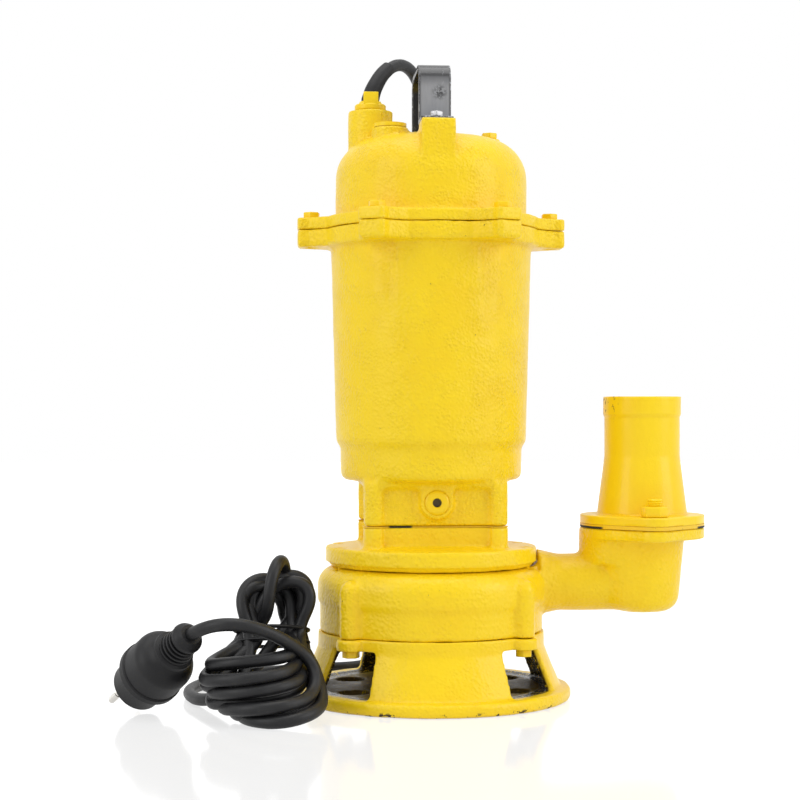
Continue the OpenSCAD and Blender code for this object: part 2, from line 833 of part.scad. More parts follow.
module top_cover() {
    color("gold") difference() {
        union() {
            lobed_flange(split_z, cover_top_z);
            dome_solid(dome_r, split_z, dome_straight_z, dome_top_z, dome_shoulder_r);
            handle_posts();
            translate([gland_x, 0, 0]) rod(15, dome_straight_z, gland_top_z);
            translate([-29, -23, 0]) rod(12, dome_straight_z, 380);
            translate([43, 30, 0]) rod(7.5, dome_straight_z, 381);
        }
        dome_solid(dome_r - dome_wall, split_z - 1, dome_straight_z - 2,
            dome_top_z - dome_wall, dome_shoulder_r - 5);
        at_polar(cover_bolt_pitch_r, lobe_angles) rod(3 + gap, split_z - 1, cover_top_z + 1);
        translate([gland_x, 0, 0]) rod(6, 350, 381);
        translate([gland_x, 0, 0]) rod(10, 380, gland_top_z + 1);
        translate([-29, -23, 0]) rod(10, 371, 381);
        translate([43, 30, 0]) rod(3 + gap, 362, 382);
        for (s = [-1, 1]) translate([0, s * handle_screw_y, 0]) rod(2.5 + gap, 366, 383);
        torus(64.8, 1.35, split_z);
    }
}

module cover_bolts() {
    color("gold") at_polar(cover_bolt_pitch_r, lobe_angles) {
        hex_rod(m6_head, cover_top_z, cover_top_z + 4);
        rod(3, split_z - housing_flange_t + 1, cover_top_z);
    }
}

module handle_half() {
    // One leg, its top bend and its foot, drawn in the plane across the pump.
    inner_r = handle_bend_r - strap_t;
    leg_in = handle_leg_y - strap_t / 2;
    square_top = handle_top_z - handle_bend_r;
    union() {
        translate([-0.01, handle_top_z - strap_t])
            square([leg_in + strap_t - handle_bend_r + 0.01, strap_t]);
        intersection() {
            translate([leg_in + strap_t - handle_bend_r, square_top]) difference() {
                circle(r = handle_bend_r);
                circle(r = inner_r);
            }
            translate([leg_in + strap_t - handle_bend_r, square_top])
                square(handle_bend_r + 1);
        }
        translate([leg_in, post_top_z]) square([strap_t, square_top - post_top_z]);
        translate([leg_in, post_top_z]) square([foot_y - leg_in, strap_t]);
    }
}

module carry_handle() {
    color("black") difference() {
        translate([-strap_w / 2, 0, 0]) rotate([90, 0, 90]) linear_extrude(strap_w) union() {
            handle_half();
            mirror([1, 0]) handle_half();
        }
        for (s = [-1, 1]) translate([0, s * handle_screw_y, 0]) rod(2.5 + gap, 380, 390);
    }
}

module handle_screws() {
    color("silver") for (s = [-1, 1]) translate([0, s * handle_screw_y, 0]) {
        hex_rod(8, post_top_z + strap_t, post_top_z + strap_t + 4);
        rod(2.5, 367, post_top_z + strap_t);
    }
}

module dome_plug() {
    color("gold") translate([-29, -23, 0]) {
        rod(10.8, 380, 382.4);
        rod(9.9, 372, 380);
    }
}

module dome_screw() {
    color("gold") translate([43, 30, 0]) {
        hex_rod(10, 381, 385);
        rod(3, 363, 381);
    }
}

// ---- electrical parts ----

module run_capacitor() {
    color("whitesmoke") translate([-26, capacitor_y, capacitor_z]) rotate([0, 90, 0]) {
        cylinder(r = capacitor_r, h = 56);
        translate([0, 0, 56]) cylinder(r = 12, h = 3);
        for (y = [-5, 5]) translate([-1.5, y - 0.4, 59]) cube([3, 0.8, 3.5]);
    }
}

module capacitor_strap() {
    strap_z = capacitor_z - capacitor_r - 1.2;
    color("silver") {
        translate([-8, capacitor_y, capacitor_z]) rotate([0, 90, 0])
            ring(capacitor_r + 1.2, capacitor_r + 0.02, 0, 14);
        translate([-8, capacitor_y - 3, 315]) cube([14, 6, strap_z - 315 + 0.6]);
    }
}

module terminal_block() {
    color("ivory") difference() {
        translate([-20, -36, 315]) cube([40, 20, 13]);
        for (x = [-12, 0, 12]) translate([x, -26, 0]) rod(2.6, 320, 329);
    }
    color("silver") for (x = [-12, 0, 12]) translate([x, -26, 0]) rod(2.5, 320, 326);
}

module cable_bush() {
    color("black") translate([gland_x, 0, 0]) ring(9.9, cord_r + 0.05, 380, gland_top_z);
}

module cable_gland() {
    color("gold") translate([gland_x, 0, 0]) difference() {
        union() {
            rod(10.5, gland_top_z, 400);
            rod(7.2, 400, 402);
            for (s = [-1, 1]) translate([-5, s * 8.4 - 1.2, 400]) cube([10, 2.4, 8]);
        }
        rod(cord_r + 2.1, gland_top_z - 1, 409);
    }
}

module strain_relief() {
    route = smooth_route([for (i = [0:3]) lead_route[i]], 4);
    color("black") {
        translate([gland_x, 0, 0]) ring(cord_r + 2, cord_r + 0.05, gland_top_z, 402);
        difference() {
            swept_cone(route, cord_r + 2, cord_r + 0.7);
            translate([gland_x, 0, 0]) rod(20, 380, 402);
        }
    }
}

// A tapering tube along a route, thick at its start.
module swept_cone(p, r0, r1) {
    for (i = [0:3:len(p) - 4]) {
        r = r0 + (r1 - r0) * i / (len(p) - 1);
        swept_tube([for (k = [i:i + 3]) p[k]], r, 16);
    }
}

// ---- mains lead, its folds and its plug ----

module cord_lead() {
    color("black") swept_tube(smooth_route(lead_route, 2), cord_r, cord_sides);
}

module inner_lead() {
    color("black") swept_tube(smooth_route(inner_route, 2), inner_lead_r, cord_sides);
}

module cord_plug_lead() {
    color("black") swept_tube(smooth_route(plug_route, 2), cord_r, cord_sides);
}

module cord_hank_floor() {
    r = hank_floor_w / 2;
    color("black") linear_extrude(hank_floor_h) union() {
        translate([-116, -86]) circle(r = r);
        translate([-111, -86]) circle(r = r);
        translate([-136, -86]) square([36, 60]);
    }
}

module cord_hank_top() {
    r = hank_top_w / 2;
    top = 58;
    color("black") translate([waist[0], waist[1], hank_floor_h]) rotate([-14, 0, 0])
        translate([0, hank_top_t / 2, 0]) rotate([90, 0, 0]) linear_extrude(hank_top_t) union() {
            translate([0, top - r]) circle(r = r);
            translate([-waist_w / 2, 0]) square([waist_w, top - r]);
        }
}

module cord_ties() {
    color("black") translate(waist) rotate([-14, 0, 0]) for (z = [4, 11])
        translate([0, 0, z]) linear_extrude(2.4) difference() {
            square([waist_w + 4, hank_top_t + 4], center = true);
            square([waist_w, hank_top_t], center = true);
        }
}

module plug_solid() {
    rotate_extrude() polygon(concat([[0, 0], [7.5, 0], [9, 4], [9, 6], [8, 7], [10, 11],
        [8.6, 13], [10.6, 16], [9.4, 18], [11, 20], [13, 21], [13, 25]],
        arc([10.7, 36], 9.5, -80, 0, 6), [[20.2, 50], [21.3, 51], [21.3, 56], [16.8, 57],
        [16.8, 74], [0, 74]]));
}

module plug_body() {
    color("black") translate(plug_at) rotate(plug_turn) difference() {
        plug_solid();
        translate([0, 0, -1]) cylinder(r = cord_r + 0.05, h = 12);
        for (s = [-1, 1]) translate([0, s * 9.5, 60]) cylinder(r = 2.45, h = 20);
        for (s = [-1, 1]) translate([s * 16.5 - 2, -3.5, 60]) cube([4, 7, 20]);
    }
}

module plug_pins() {
    color("silver") translate(plug_at) rotate(plug_turn) for (s = [-1, 1])
        translate([0, s * 9.5, 60]) {
            cylinder(r = 2.4, h = 31);
            translate([0, 0, 31]) sphere(r = 2.4);
        }
}

module earth_contacts() {
    color("goldenrod") translate(plug_at) rotate(plug_turn) for (s = [-1, 1])
        translate([s * 15.8 - 0.5, -2, 60]) cube([1, 4, 13]);
}

strainer_base();
base_bolts();
pump_casing();
impeller();
impeller_key();
impeller_nut();
outlet_gasket();
outlet_nozzle();
outlet_studs();
outlet_nuts();
pump_lid();
lid_seal_ring();
casing_screws();
lid_screws();
chamber_gasket();
seal_seat();
seal_head();
seal_spring();
shaft_lip_seal();
oil_plug();
oil_plug_washer();
motor_housing();
stator_core();
lower_winding();
upper_winding();
motor_shaft();
rotor_core();
rotor_end_rings();
lower_bearing_outer();
lower_bearing_inner();
lower_bearing_balls();
upper_bearing_outer();
upper_bearing_inner();
upper_bearing_balls();
bearing_spring_washer();
bearing_bracket();
cover_seal_ring();
top_cover();
cover_bolts();
carry_handle();
handle_screws();
dome_plug();
dome_screw();
run_capacitor();
capacitor_strap();
terminal_block();
cable_bush();
cable_gland();
strain_relief();
inner_lead();
cord_lead();
cord_hank_floor();
cord_hank_top();
cord_ties();
cord_plug_lead();
plug_body();
plug_pins();
earth_contacts();
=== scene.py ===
import json
import logging
import math
from dataclasses import dataclass, field
from enum import Enum
from typing import Callable, Optional, Sequence, Union

import bmesh
import bpy
import numpy as np
from mathutils import Matrix, Vector, noise


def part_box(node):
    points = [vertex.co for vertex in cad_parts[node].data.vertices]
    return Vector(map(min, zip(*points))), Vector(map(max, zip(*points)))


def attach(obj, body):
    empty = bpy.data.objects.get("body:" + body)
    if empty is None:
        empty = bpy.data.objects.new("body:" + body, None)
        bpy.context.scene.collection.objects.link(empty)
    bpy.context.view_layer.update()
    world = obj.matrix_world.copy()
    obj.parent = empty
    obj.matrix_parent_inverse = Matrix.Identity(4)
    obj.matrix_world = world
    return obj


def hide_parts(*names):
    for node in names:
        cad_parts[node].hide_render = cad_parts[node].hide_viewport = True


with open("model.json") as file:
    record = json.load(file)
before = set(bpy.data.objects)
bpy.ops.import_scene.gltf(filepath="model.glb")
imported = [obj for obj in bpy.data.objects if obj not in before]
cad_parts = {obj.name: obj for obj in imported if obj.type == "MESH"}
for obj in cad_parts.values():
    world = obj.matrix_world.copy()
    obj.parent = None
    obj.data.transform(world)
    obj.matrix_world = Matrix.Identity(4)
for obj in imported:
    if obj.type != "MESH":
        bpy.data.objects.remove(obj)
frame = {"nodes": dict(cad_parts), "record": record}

MM = 0.001
LOG = logging.getLogger("sump_pump")
Colour = tuple[float, float, float]
Point = tuple[float, float, float]
Pair = tuple[float, float]
Value = Union["Signal", float]
Paint = Union["Signal", Colour]
Material = bpy.types.Material
Mesh = bpy.types.Mesh
Piece = bpy.types.Object


# ---------------------------------------------------------------- shader maths


class Signal:
    """An output socket of a node tree, with operators that add Math nodes to the tree."""

    def __init__(self, recipe: "Recipe", socket: bpy.types.NodeSocket) -> None:
        """Holds one output socket of a recipe's tree."""
        self.recipe = recipe
        self.socket = socket

    def _math(self, operation: str, *others: Value, clamp: bool = False) -> "Signal":
        """Adds one Math node that starts from this value, with further inputs."""
        return self.recipe.value("Math", "Value", [self, *others], operation=operation, use_clamp=clamp)

    def __add__(self, other: Value) -> "Signal":
        """The sum of two values."""
        return self._math("ADD", other)

    __radd__ = __add__

    def __sub__(self, other: Value) -> "Signal":
        """This value less another."""
        return self._math("SUBTRACT", other)

    def __rsub__(self, other: float) -> "Signal":
        """A number less this value."""
        return (self * -1.0) + other

    def __mul__(self, other: Value) -> "Signal":
        """The product of two values."""
        return self._math("MULTIPLY", other)

    def __pow__(self, exponent: float) -> "Signal":
        """This value raised to a power."""
        return self._math("POWER", exponent)

    def largest(self, other: Value) -> "Signal":
        """The larger of two values."""
        return self._math("MAXIMUM", other)

    def size(self) -> "Signal":
        """The value without its sign."""
        return self._math("ABSOLUTE")

    def stripes(self) -> "Signal":
        """The sine of the value, moved to run from 0 to 1."""
        return (self._math("SINE") + 1.0) * 0.5

    def clamped(self) -> "Signal":
        """The value kept between 0 and 1."""
        return self._math("ADD", 0.0, clamp=True)

    def ramp(self, start: float, stop: float) -> "Signal":
        """A smooth step of the value.

        Args:
            start: The value at which the step is 0.
            stop: The value at which the step is 1, which may be below start.

        Returns:
            The step, from 0 to 1.
        """
        low, high, out = (start, stop, (0.0, 1.0)) if start < stop else (stop, start, (1.0, 0.0))
        inputs = {"Value": self, "From Min": low, "From Max": high, "To Min": out[0], "To Max": out[1]}
        return self.recipe.value("MapRange", "Result", inputs, interpolation_type="SMOOTHSTEP")


class Recipe:
    """The node tree of a material or of the world while it is written."""

    def __init__(self, name: str, world: Optional[bpy.types.World] = None) -> None:
        """Starts an empty tree.

        Args:
            name: The name of the material.
            world: The world whose tree it is, in place of a new material.
        """
        self.owner = world or bpy.data.materials.new(name)
        self.owner.use_nodes = True
        self.tree = self.owner.node_tree
        self.tree.nodes.clear()
        self._coordinates: Optional[Signal] = None

    def node(self, kind: str, inputs: Union[dict, Sequence] = (), **settings: object) -> bpy.types.Node:
        """Adds a node, sets its properties, then fills or links its inputs.

        Args:
            kind: The node's type, without the word that all of them start with.
            inputs: Values or signals, by socket identifier or name, or in the sockets' order.
            settings: Properties of the node.

        Returns:
            The new node.
        """
        made = self.tree.nodes.new("ShaderNode" + kind)
        for key, value in settings.items():
            setattr(made, key, value)
        for key, value in inputs.items() if isinstance(inputs, dict) else enumerate(inputs):
            found = [s for s in made.inputs if s.identifier == key]
            found += [s for s in made.inputs if s.name == key and s.enabled]
            socket = found[0] if found else made.inputs[key]
            if isinstance(value, Signal):
                self.tree.links.new(value.socket, socket)
            elif isinstance(value, tuple) and socket.type == "RGBA":
                socket.default_value = (*value, 1.0)
            else:
                socket.default_value = value
        return made

    def value(self, kind: str, out: str, inputs: Union[dict, Sequence] = (), **settings: object) -> Signal:
        """Adds a node in the same way, and gives its output of one name or identifier."""
        made = self.node(kind, inputs, **settings)
        return Signal(self, next(o for o in made.outputs if out in (o.identifier, o.name)))

    def place(self, stretch: Optional[Point] = None) -> Signal:
        """Object coordinates in metres.

        Args:
            stretch: The factor on each axis, if there is one.

        Returns:
            The coordinates.
        """
        if self._coordinates is None:
            self._coordinates = self.value("TexCoord", "Object")
        if stretch is None:
            return self._coordinates
        return self.value("VectorMath", "Vector", [self._coordinates, stretch], operation="MULTIPLY")

    def axes(self) -> tuple[Signal, Signal, Signal]:
        """The X, Y and Z of the Object coordinates, in millimetres."""
        split = self.node("SeparateXYZ", [self.place((1 / MM, 1 / MM, 1 / MM))])
        return tuple(Signal(self, out) for out in split.outputs)

    def grain(self, size: float, detail: float = 2.0, roughness: float = 0.5,
              at: Optional[Signal] = None) -> Signal:
        """Cloudy noise.

        Args:
            size: The size of a cloud in millimetres.
            detail: How many finer layers it has.
            roughness: How strong the finer layers are.
            at: Where it is read, or nothing for Object coordinates.

        Returns:
            A value around 0.5.
        """
        inputs = {"Vector": at or self.place(), "Scale": 1.0 / (size * MM), "Detail": detail,
                  "Roughness": roughness}
        return self.value("TexNoise", "Fac", inputs)

    def cells(self, size: float, smooth: float) -> Signal:
        """Distance to the middle of irregular cells of a size in millimetres, with soft borders."""
        inputs = {"Vector": self.place(), "Scale": 1.0 / (size * MM), "Smoothness": smooth}
        return self.value("TexVoronoi", "Distance", inputs, feature="SMOOTH_F1")

    def edge(self) -> Signal:
        """How convex the piece is, as marked_edges stores it, and 0 where it has no mark."""
        return self.value("Attribute", "Fac", attribute_name="edge")

    def mix(self, factor: Value, first: Paint, second: Paint) -> Signal:
        """The first colour, with as much of the second as the factor says."""
        inputs = {"Factor_Float": factor, "A_Color": first, "B_Color": second}
        return self.value("Mix", "Result_Color", inputs, data_type="RGBA", clamp_factor=True)

    def relief(self, height: Signal, depth: float, under: Optional[Signal] = None) -> Signal:
        """A bump.

        Args:
            height: The height, from 0 to 1.
            depth: The real height in millimetres that 1 stands for.
            under: A normal that the bump is laid on.

        Returns:
            The bumped normal.
        """
        inputs = {"Height": height, "Distance": depth * MM, "Strength": 1.0}
        return self.value("Bump", "Normal", {**inputs, "Normal": under} if under else inputs)

    def close(self, shader: Signal, kind: str = "OutputMaterial") -> Union[Material, bpy.types.World]:
        """Ends the tree with a shader, and gives the tree's owner."""
        self.node(kind, {"Surface": shader})
        return self.owner

    def surface(self, inputs: dict) -> Material:
        """Ends the tree with one Principled shader, whose inputs are given by socket name."""
        return self.close(self.value("BsdfPrincipled", "BSDF", inputs))


# ---------------------------------------------------------------- finishes


class Wear(Enum):
    """What the years and the paint shop have left on a painted casting, and on the oil plug also painted
    shade in its key socket.
    """

    CLEAN = "clean"
    STRAINER = "strainer"
    HOSE_TAIL = "hose_tail"
    KEYHOLE = "keyhole"


@dataclass(frozen=True)
class CastEnamel:
    """Thick glossy yellow enamel over a cast or machined iron surface."""

    name: str
    pebble: float = 1.7
    depth: float = 0.25
    wear: Wear = Wear.CLEAN
    yellow: Colour = (0.93, 0.655, 0.008)
    deep: Colour = (0.84, 0.50, 0.004)
    # Pale yellow of the painted highlight on convex edges.
    edge_highlight: Colour = (1.0, 0.80, 0.12)
    rust: Colour = (0.055, 0.022, 0.010)
    iron: Colour = (0.05, 0.045, 0.042)
    # Black of the wet dirt inside the strainer, and of the painted shade in the oil plug's key socket.
    grime_and_shade_colour: Colour = (0.012, 0.010, 0.009)

    def make(self) -> Material:
        """Writes the enamel's node tree.

        Returns:
            The material.
        """
        recipe = Recipe(self.name)
        edge = recipe.edge()
        clouds = recipe.grain(38.0, 3.0, 0.55)
        runs = recipe.grain(9.0, 2.0, 0.5, at=recipe.place((1.0, 1.0, 0.35)))
        # Painted shade: concave hollows are darkened towards the deep yellow.
        hollow = (edge * -1.0).ramp(0.05, 0.55)
        # Painted highlight: convex edges are lightened towards a pale yellow.
        thin = edge.ramp(0.25, 0.9)
        colour = recipe.mix(clouds.ramp(0.40, 0.80) * 0.30, self.yellow, self.deep)
        # Painted shade in the hollows.
        colour = recipe.mix(hollow * 0.55, colour, self.deep)
        colour = recipe.mix(thin * 0.18, colour, self.edge_highlight)
        bare, grime_and_shade = self._damage(recipe, edge)
        colour = recipe.mix(bare, colour, recipe.mix(recipe.grain(1.1, 3.0), self.rust, self.iron))
        colour = recipe.mix(grime_and_shade, colour, self.grime_and_shade_colour)
        pebbles = recipe.cells(self.pebble, 0.6)
        patchy = recipe.grain(14.0, 2.0).ramp(0.35, 0.65)
        height = pebbles * (0.45 + patchy * 0.55) + recipe.grain(0.8, 2.0) * 0.15
        normal = recipe.relief(runs, 0.22)
        normal = recipe.relief(height * (1.0 - bare), self.depth, normal)
        normal = recipe.relief(1.0 - bare, 0.12, normal)
        rough = 0.30 + recipe.grain(6.0, 3.0) * 0.12 + bare * 0.4 - grime_and_shade * 0.12
        return recipe.surface({"Base Color": colour, "Roughness": rough, "Normal": normal,
                               "Coat Weight": (1.0 - bare) * 0.16, "Coat Roughness": 0.16,
                               "Specular IOR Level": 0.25})

    def _damage(self, recipe: Recipe, edge: Signal) -> tuple[Signal, Value]:
        """Where the paint is missing or under grime.

        Args:
            recipe: The material's tree.
            edge: How convex the surface is.

        Returns:
            How bare the iron is, and how black the surface is: wet black dirt inside the strainer, and
            painted shade in the oil plug's key socket.
        """
        x, y, z = recipe.axes()
        specks = recipe.grain(2.4, 3.0, 0.6).ramp(0.735, 0.76) * 0.8
        if self.wear is Wear.STRAINER:
            radius = (x * x + y * y) ** 0.5
            low = z.ramp(4.0, 1.8) * radius.ramp(88.0, 92.0)
            chips = low * recipe.grain(7.0, 3.0, 0.7).ramp(0.60, 0.63)
            cone = radius + z * 0.407
            inside = cone.ramp(88.6, 86.9) * z.ramp(46.0, 40.0)
            spotted = recipe.grain(4.0, 4.0, 0.75).ramp(0.36, 0.46)
            under = z.ramp(0.6, 0.1) * recipe.grain(5.0, 3.0).ramp(0.45, 0.6)
            holes = z.ramp(8.6, 7.4) * radius.ramp(74.0, 72.0)
            worn = holes * recipe.grain(2.2, 3.0).ramp(0.30, 0.45) * 0.9
            bare = chips.largest(worn).largest(under).largest(specks * 0.5)
            return bare, inside * spotted * (1.0 - worn) * 0.97
        if self.wear is Wear.HOSE_TAIL:
            left = x.ramp(126.0, 119.0)
            high = z.ramp(182.0, 196.0)
            marks = left * high * recipe.grain(3.2, 3.0, 0.7).ramp(0.60, 0.64)
            return marks.largest(specks * 0.4), 0.0
        if self.wear is Wear.KEYHOLE:
            low, high = frame_mm("oil_plug")
            off_x = x - (low.x + high.x) / 2
            off_z = z - (low.z + high.z) / 2
            # Painted shade: the key socket in the middle of the oil plug is blackened.
            hole = ((off_x * off_x + off_z * off_z) ** 0.5).ramp(3.2, 2.6)
            return specks * 0.3, hole * 0.9
        rubbed = edge.ramp(0.75, 1.0) * recipe.grain(5.0, 4.0, 0.7).ramp(0.66, 0.72)
        return specks.largest(rubbed), 0.0


@dataclass(frozen=True)
class PaintedJoint:
    """A pressed gasket with paint run over its edge, and dark along one stretch as painted shade of the gap
    between the flanges there.
    """

    name: str
    dark_gap_from: float
    dark_gap_to: float
    about_x: float = 0.0
    line_top: float = 200.0
    yellow: Colour = (0.90, 0.60, 0.010)
    deep: Colour = (0.70, 0.36, 0.004)
    # Dark of the painted gap shade, and of the random bare spots.
    sheet: Colour = (0.020, 0.018, 0.016)

    def make(self) -> Material:
        """Writes the gasket edge's node tree.

        Returns:
            The material.
        """
        recipe = Recipe(self.name)
        x, _, z = recipe.axes()
        off = x - self.about_x
        reach = off.size() if self.about_x else off
        # Painted shade: one stretch of the edge, below line_top, is darkened for the shaded gap between the
        # flanges.
        stretch = reach.ramp(self.dark_gap_from - 2.0, self.dark_gap_from)
        stretch = stretch * reach.ramp(self.dark_gap_to + 2.0, self.dark_gap_to)
        stretch = stretch * z.ramp(self.line_top + 0.3, self.line_top - 0.1)
        spots = recipe.grain(3.0, 3.0, 0.7).ramp(0.66, 0.72) * 0.6
        # bare is the painted gap shade together with random bare spots.
        bare = stretch.largest(spots)
        colour = recipe.mix(recipe.grain(8.0, 2.0) * 0.4, self.yellow, self.deep)
        colour = recipe.mix(bare, colour, self.sheet)
        return recipe.surface({"Base Color": colour, "Roughness": 0.38 + bare * 0.3,
                               "Normal": recipe.relief(recipe.grain(1.6, 3.0), 0.12)})


@dataclass(frozen=True)
class Metal:
    """A bare or plated metal."""

    name: str
    colour: Colour
    rough: float = 0.3
    brushed: float = 0.0
    stain: Colour = (0.12, 0.09, 0.06)
    stained: float = 0.15

    def make(self) -> Material:
        """Writes the metal's node tree.

        Returns:
            The material.
        """
        recipe = Recipe(self.name)
        lines = recipe.grain(0.5, 2.0, 0.6, at=recipe.place((0.04, 0.04, 1.0)))
        spots = recipe.grain(5.0, 4.0, 0.65).ramp(0.52, 0.74)
        colour = recipe.mix(spots * self.stained, self.colour, self.stain)
        rough = self.rough + lines * self.brushed * 0.3 + spots * self.stained * 0.6
        normal = recipe.relief(lines, 0.01 + 0.03 * self.brushed)
        normal = recipe.relief(recipe.grain(1.2, 3.0), 0.02, normal)
        return recipe.surface({"Base Color": colour, "Metallic": 1.0 - spots * self.stained,
                               "Roughness": rough, "Normal": normal})


@dataclass(frozen=True)
class Laminations:
    """Stacked electrical sheet, seen on edge."""

    name: str
    colour: Colour = (0.30, 0.31, 0.33)
    gap: Colour = (0.12, 0.12, 0.13)
    rust: Colour = (0.16, 0.07, 0.03)
    sheet: float = 0.9

    def make(self) -> Material:
        """Writes the stack's node tree.

        Returns:
            The material.
        """
        recipe = Recipe(self.name)
        _, _, z = recipe.axes()
        lines = (z * (2.0 * math.pi / self.sheet)).stripes()
        colour = recipe.mix(lines * 0.5, self.colour, self.gap)
        colour = recipe.mix(recipe.grain(7.0, 4.0).ramp(0.55, 0.75) * 0.4, colour, self.rust)
        return recipe.surface({"Base Color": colour, "Metallic": 0.85, "Roughness": 0.42 + lines * 0.2,
                               "Normal": recipe.relief(lines, 0.12)})


@dataclass(frozen=True)
class Windings:
    """Varnished copper wire, laid side by side."""

    name: str
    colour: Colour = (0.55, 0.17, 0.05)
    gap: Colour = (0.10, 0.025, 0.008)
    varnish: Colour = (0.30, 0.12, 0.03)
    wire: float = 1.1

    def make(self) -> Material:
        """Writes the winding's node tree.

        Returns:
            The material.
        """
        recipe = Recipe(self.name)
        bent = recipe.grain(11.0, 2.0) * 9.0
        x, _, z = recipe.axes()
        rows = ((z + x * 0.35) * (2.0 * math.pi / self.wire) + bent).stripes()
        colour = recipe.mix(rows * 0.7, self.gap, self.colour)
        colour = recipe.mix(recipe.grain(9.0, 3.0).ramp(0.5, 0.7) * 0.35, colour, self.varnish)
        return recipe.surface({"Base Color": colour, "Metallic": 0.55, "Roughness": 0.28,
                               "Normal": recipe.relief(rows, 0.35), "Coat Weight": 0.5})


@dataclass(frozen=True)
class Moulded:
    """Rubber, plastic, ceramic, carbon or pressed sheet."""

    name: str
    colour: Colour
    rough: float = 0.45
    grain: float = 0.9
    depth: float = 0.03
    dust: float = 0.12
    dust_colour: Colour = (0.20, 0.20, 0.20)
    coat: float = 0.0
    gloss: float = 0.5

    def make(self) -> Material:
        """Writes the moulding's node tree.

        Returns:
            The material.
        """
        recipe = Recipe(self.name)
        fine = recipe.grain(self.grain, 3.0, 0.6)
        patches = recipe.grain(16.0, 4.0, 0.6).ramp(0.45, 0.75)
        colour = recipe.mix(patches * self.dust, self.colour, self.dust_colour)
        rough = self.rough + fine * 0.12 + patches * 0.08
        normal = recipe.relief(recipe.grain(self.grain * 9.0, 2.0), self.depth * 3.0)
        return recipe.surface({"Base Color": colour, "Roughness": rough,
                               "Normal": recipe.relief(fine, self.depth, normal),
                               "Coat Weight": self.coat, "Coat Roughness": 0.15,
                               "Specular IOR Level": self.gloss})


@dataclass(frozen=True)
class BlackStrap:
    """Black enamel on bent steel strap, with a painted grey sheen on the outer faces of its legs, for their
    reflection of the white studio.

    The pairs are places in millimetres: where a mark starts to show and where it shows fully, and
    for smudge the X and Z of its middle.
    """

    name: str
    colour: Colour = (0.014, 0.014, 0.016)
    # Grey of the painted sheen on the legs' outer faces.
    worn: Colour = (0.28, 0.285, 0.30)
    steel: Colour = (0.45, 0.46, 0.48)
    sheen_face_y: Pair = (30.6, 31.2)
    sheen_x: Pair = (10.4, 8.6)
    sheen_foot: Pair = (384.5, 386.5)
    sheen_top: Pair = (418.0, 404.0)
    smudge: Pair = (3.0, 402.5)
    smudge_radius: Pair = (6.5, 1.5)
    scratched: Pair = (391.0, 386.0)

    def make(self) -> Material:
        """Writes the strap's node tree.

        Returns:
            The material.
        """
        recipe = Recipe(self.name)
        edge = recipe.edge()
        x, y, z = recipe.axes()
        streaks = recipe.grain(3.0, 4.0, 0.65, at=recipe.place((1.0, 1.0, 0.12)))
        # Painted reflection: the legs' outer faces are greyed in streaks, as glossy black mirrors the white
        # studio.
        outer = y.size().ramp(*self.sheen_face_y) * z.ramp(*self.sheen_top)
        outer = outer * z.ramp(*self.sheen_foot) * x.size().ramp(*self.sheen_x)
        outer = outer * (0.62 + streaks * 0.60)
        spot = ((x - self.smudge[0]) ** 2.0 + (z - self.smudge[1]) ** 2.0) ** 0.5
        smudge = spot.ramp(*self.smudge_radius) * recipe.grain(1.4, 4.0, 0.7).ramp(0.40, 0.56)
        grey = (outer * (1.0 - smudge * 0.92)).clamped()
        rubbed = edge.ramp(0.2, 0.7) * recipe.grain(3.0, 4.0, 0.75).ramp(0.46, 0.64)
        scuffs = recipe.grain(5.0, 5.0, 0.75, at=recipe.place((1.0, 0.6, 0.25))).ramp(0.62, 0.70)
        scratches = z.ramp(*self.scratched) * recipe.grain(1.2, 3.0, 0.7).ramp(0.56, 0.62)
        bare = rubbed.largest(scuffs * 0.35).largest(scratches * 0.6)
        # Painted sheen: grey is its share of the colour, less under the smudge.
        colour = recipe.mix(grey, self.colour, self.worn)
        colour = recipe.mix(bare, colour, self.steel)
        rough = 0.28 + recipe.grain(4.0, 3.0) * 0.16 + bare * 0.12
        normal = recipe.relief(recipe.grain(1.6, 3.0), 0.05)
        return recipe.surface({"Base Color": colour, "Metallic": bare * 0.8, "Roughness": rough,
                               "Normal": recipe.relief(1.0 - bare, 0.04, normal),
                               "Coat Weight": (1.0 - bare) * 0.4, "Coat Roughness": 0.12})


# ---------------------------------------------------------------- making meshes


def frame_mm(node: str) -> tuple[Vector, Vector]:
    """The lowest and highest corner of a frame node, in millimetres."""
    low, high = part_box(node)
    return Vector(low) / MM, Vector(high) / MM


def turn(degrees: float, axis: str) -> Matrix:
    """A turn about an axis."""
    return Matrix.Rotation(math.radians(degrees), 4, axis)


def on_axis(low: Vector, high: Vector, z: float = 0.0, turned: Matrix = Matrix.Identity(4)) -> Matrix:
    """A place at a height on the upright axis of a box, turned first."""
    return Matrix.Translation(((low.x + high.x) / 2, (low.y + high.y) / 2, z)) @ turned


def turned_arc(centre: Pair, radius: float, start: float, stop: float,
               steps: int = 6) -> list[Pair]:
    """Points of an arc in a profile.

    Args:
        centre: The arc's centre, as (radius, height).
        radius: The arc's radius.
        start: The first angle in degrees, 0 pointing outwards and 90 up.
        stop: The last angle.
        steps: The number of chords.

    Returns:
        The points in order.
    """
    angles = [math.radians(start + (stop - start) * i / steps) for i in range(steps + 1)]
    return [(centre[0] + radius * math.cos(a), centre[1] + radius * math.sin(a)) for a in angles]


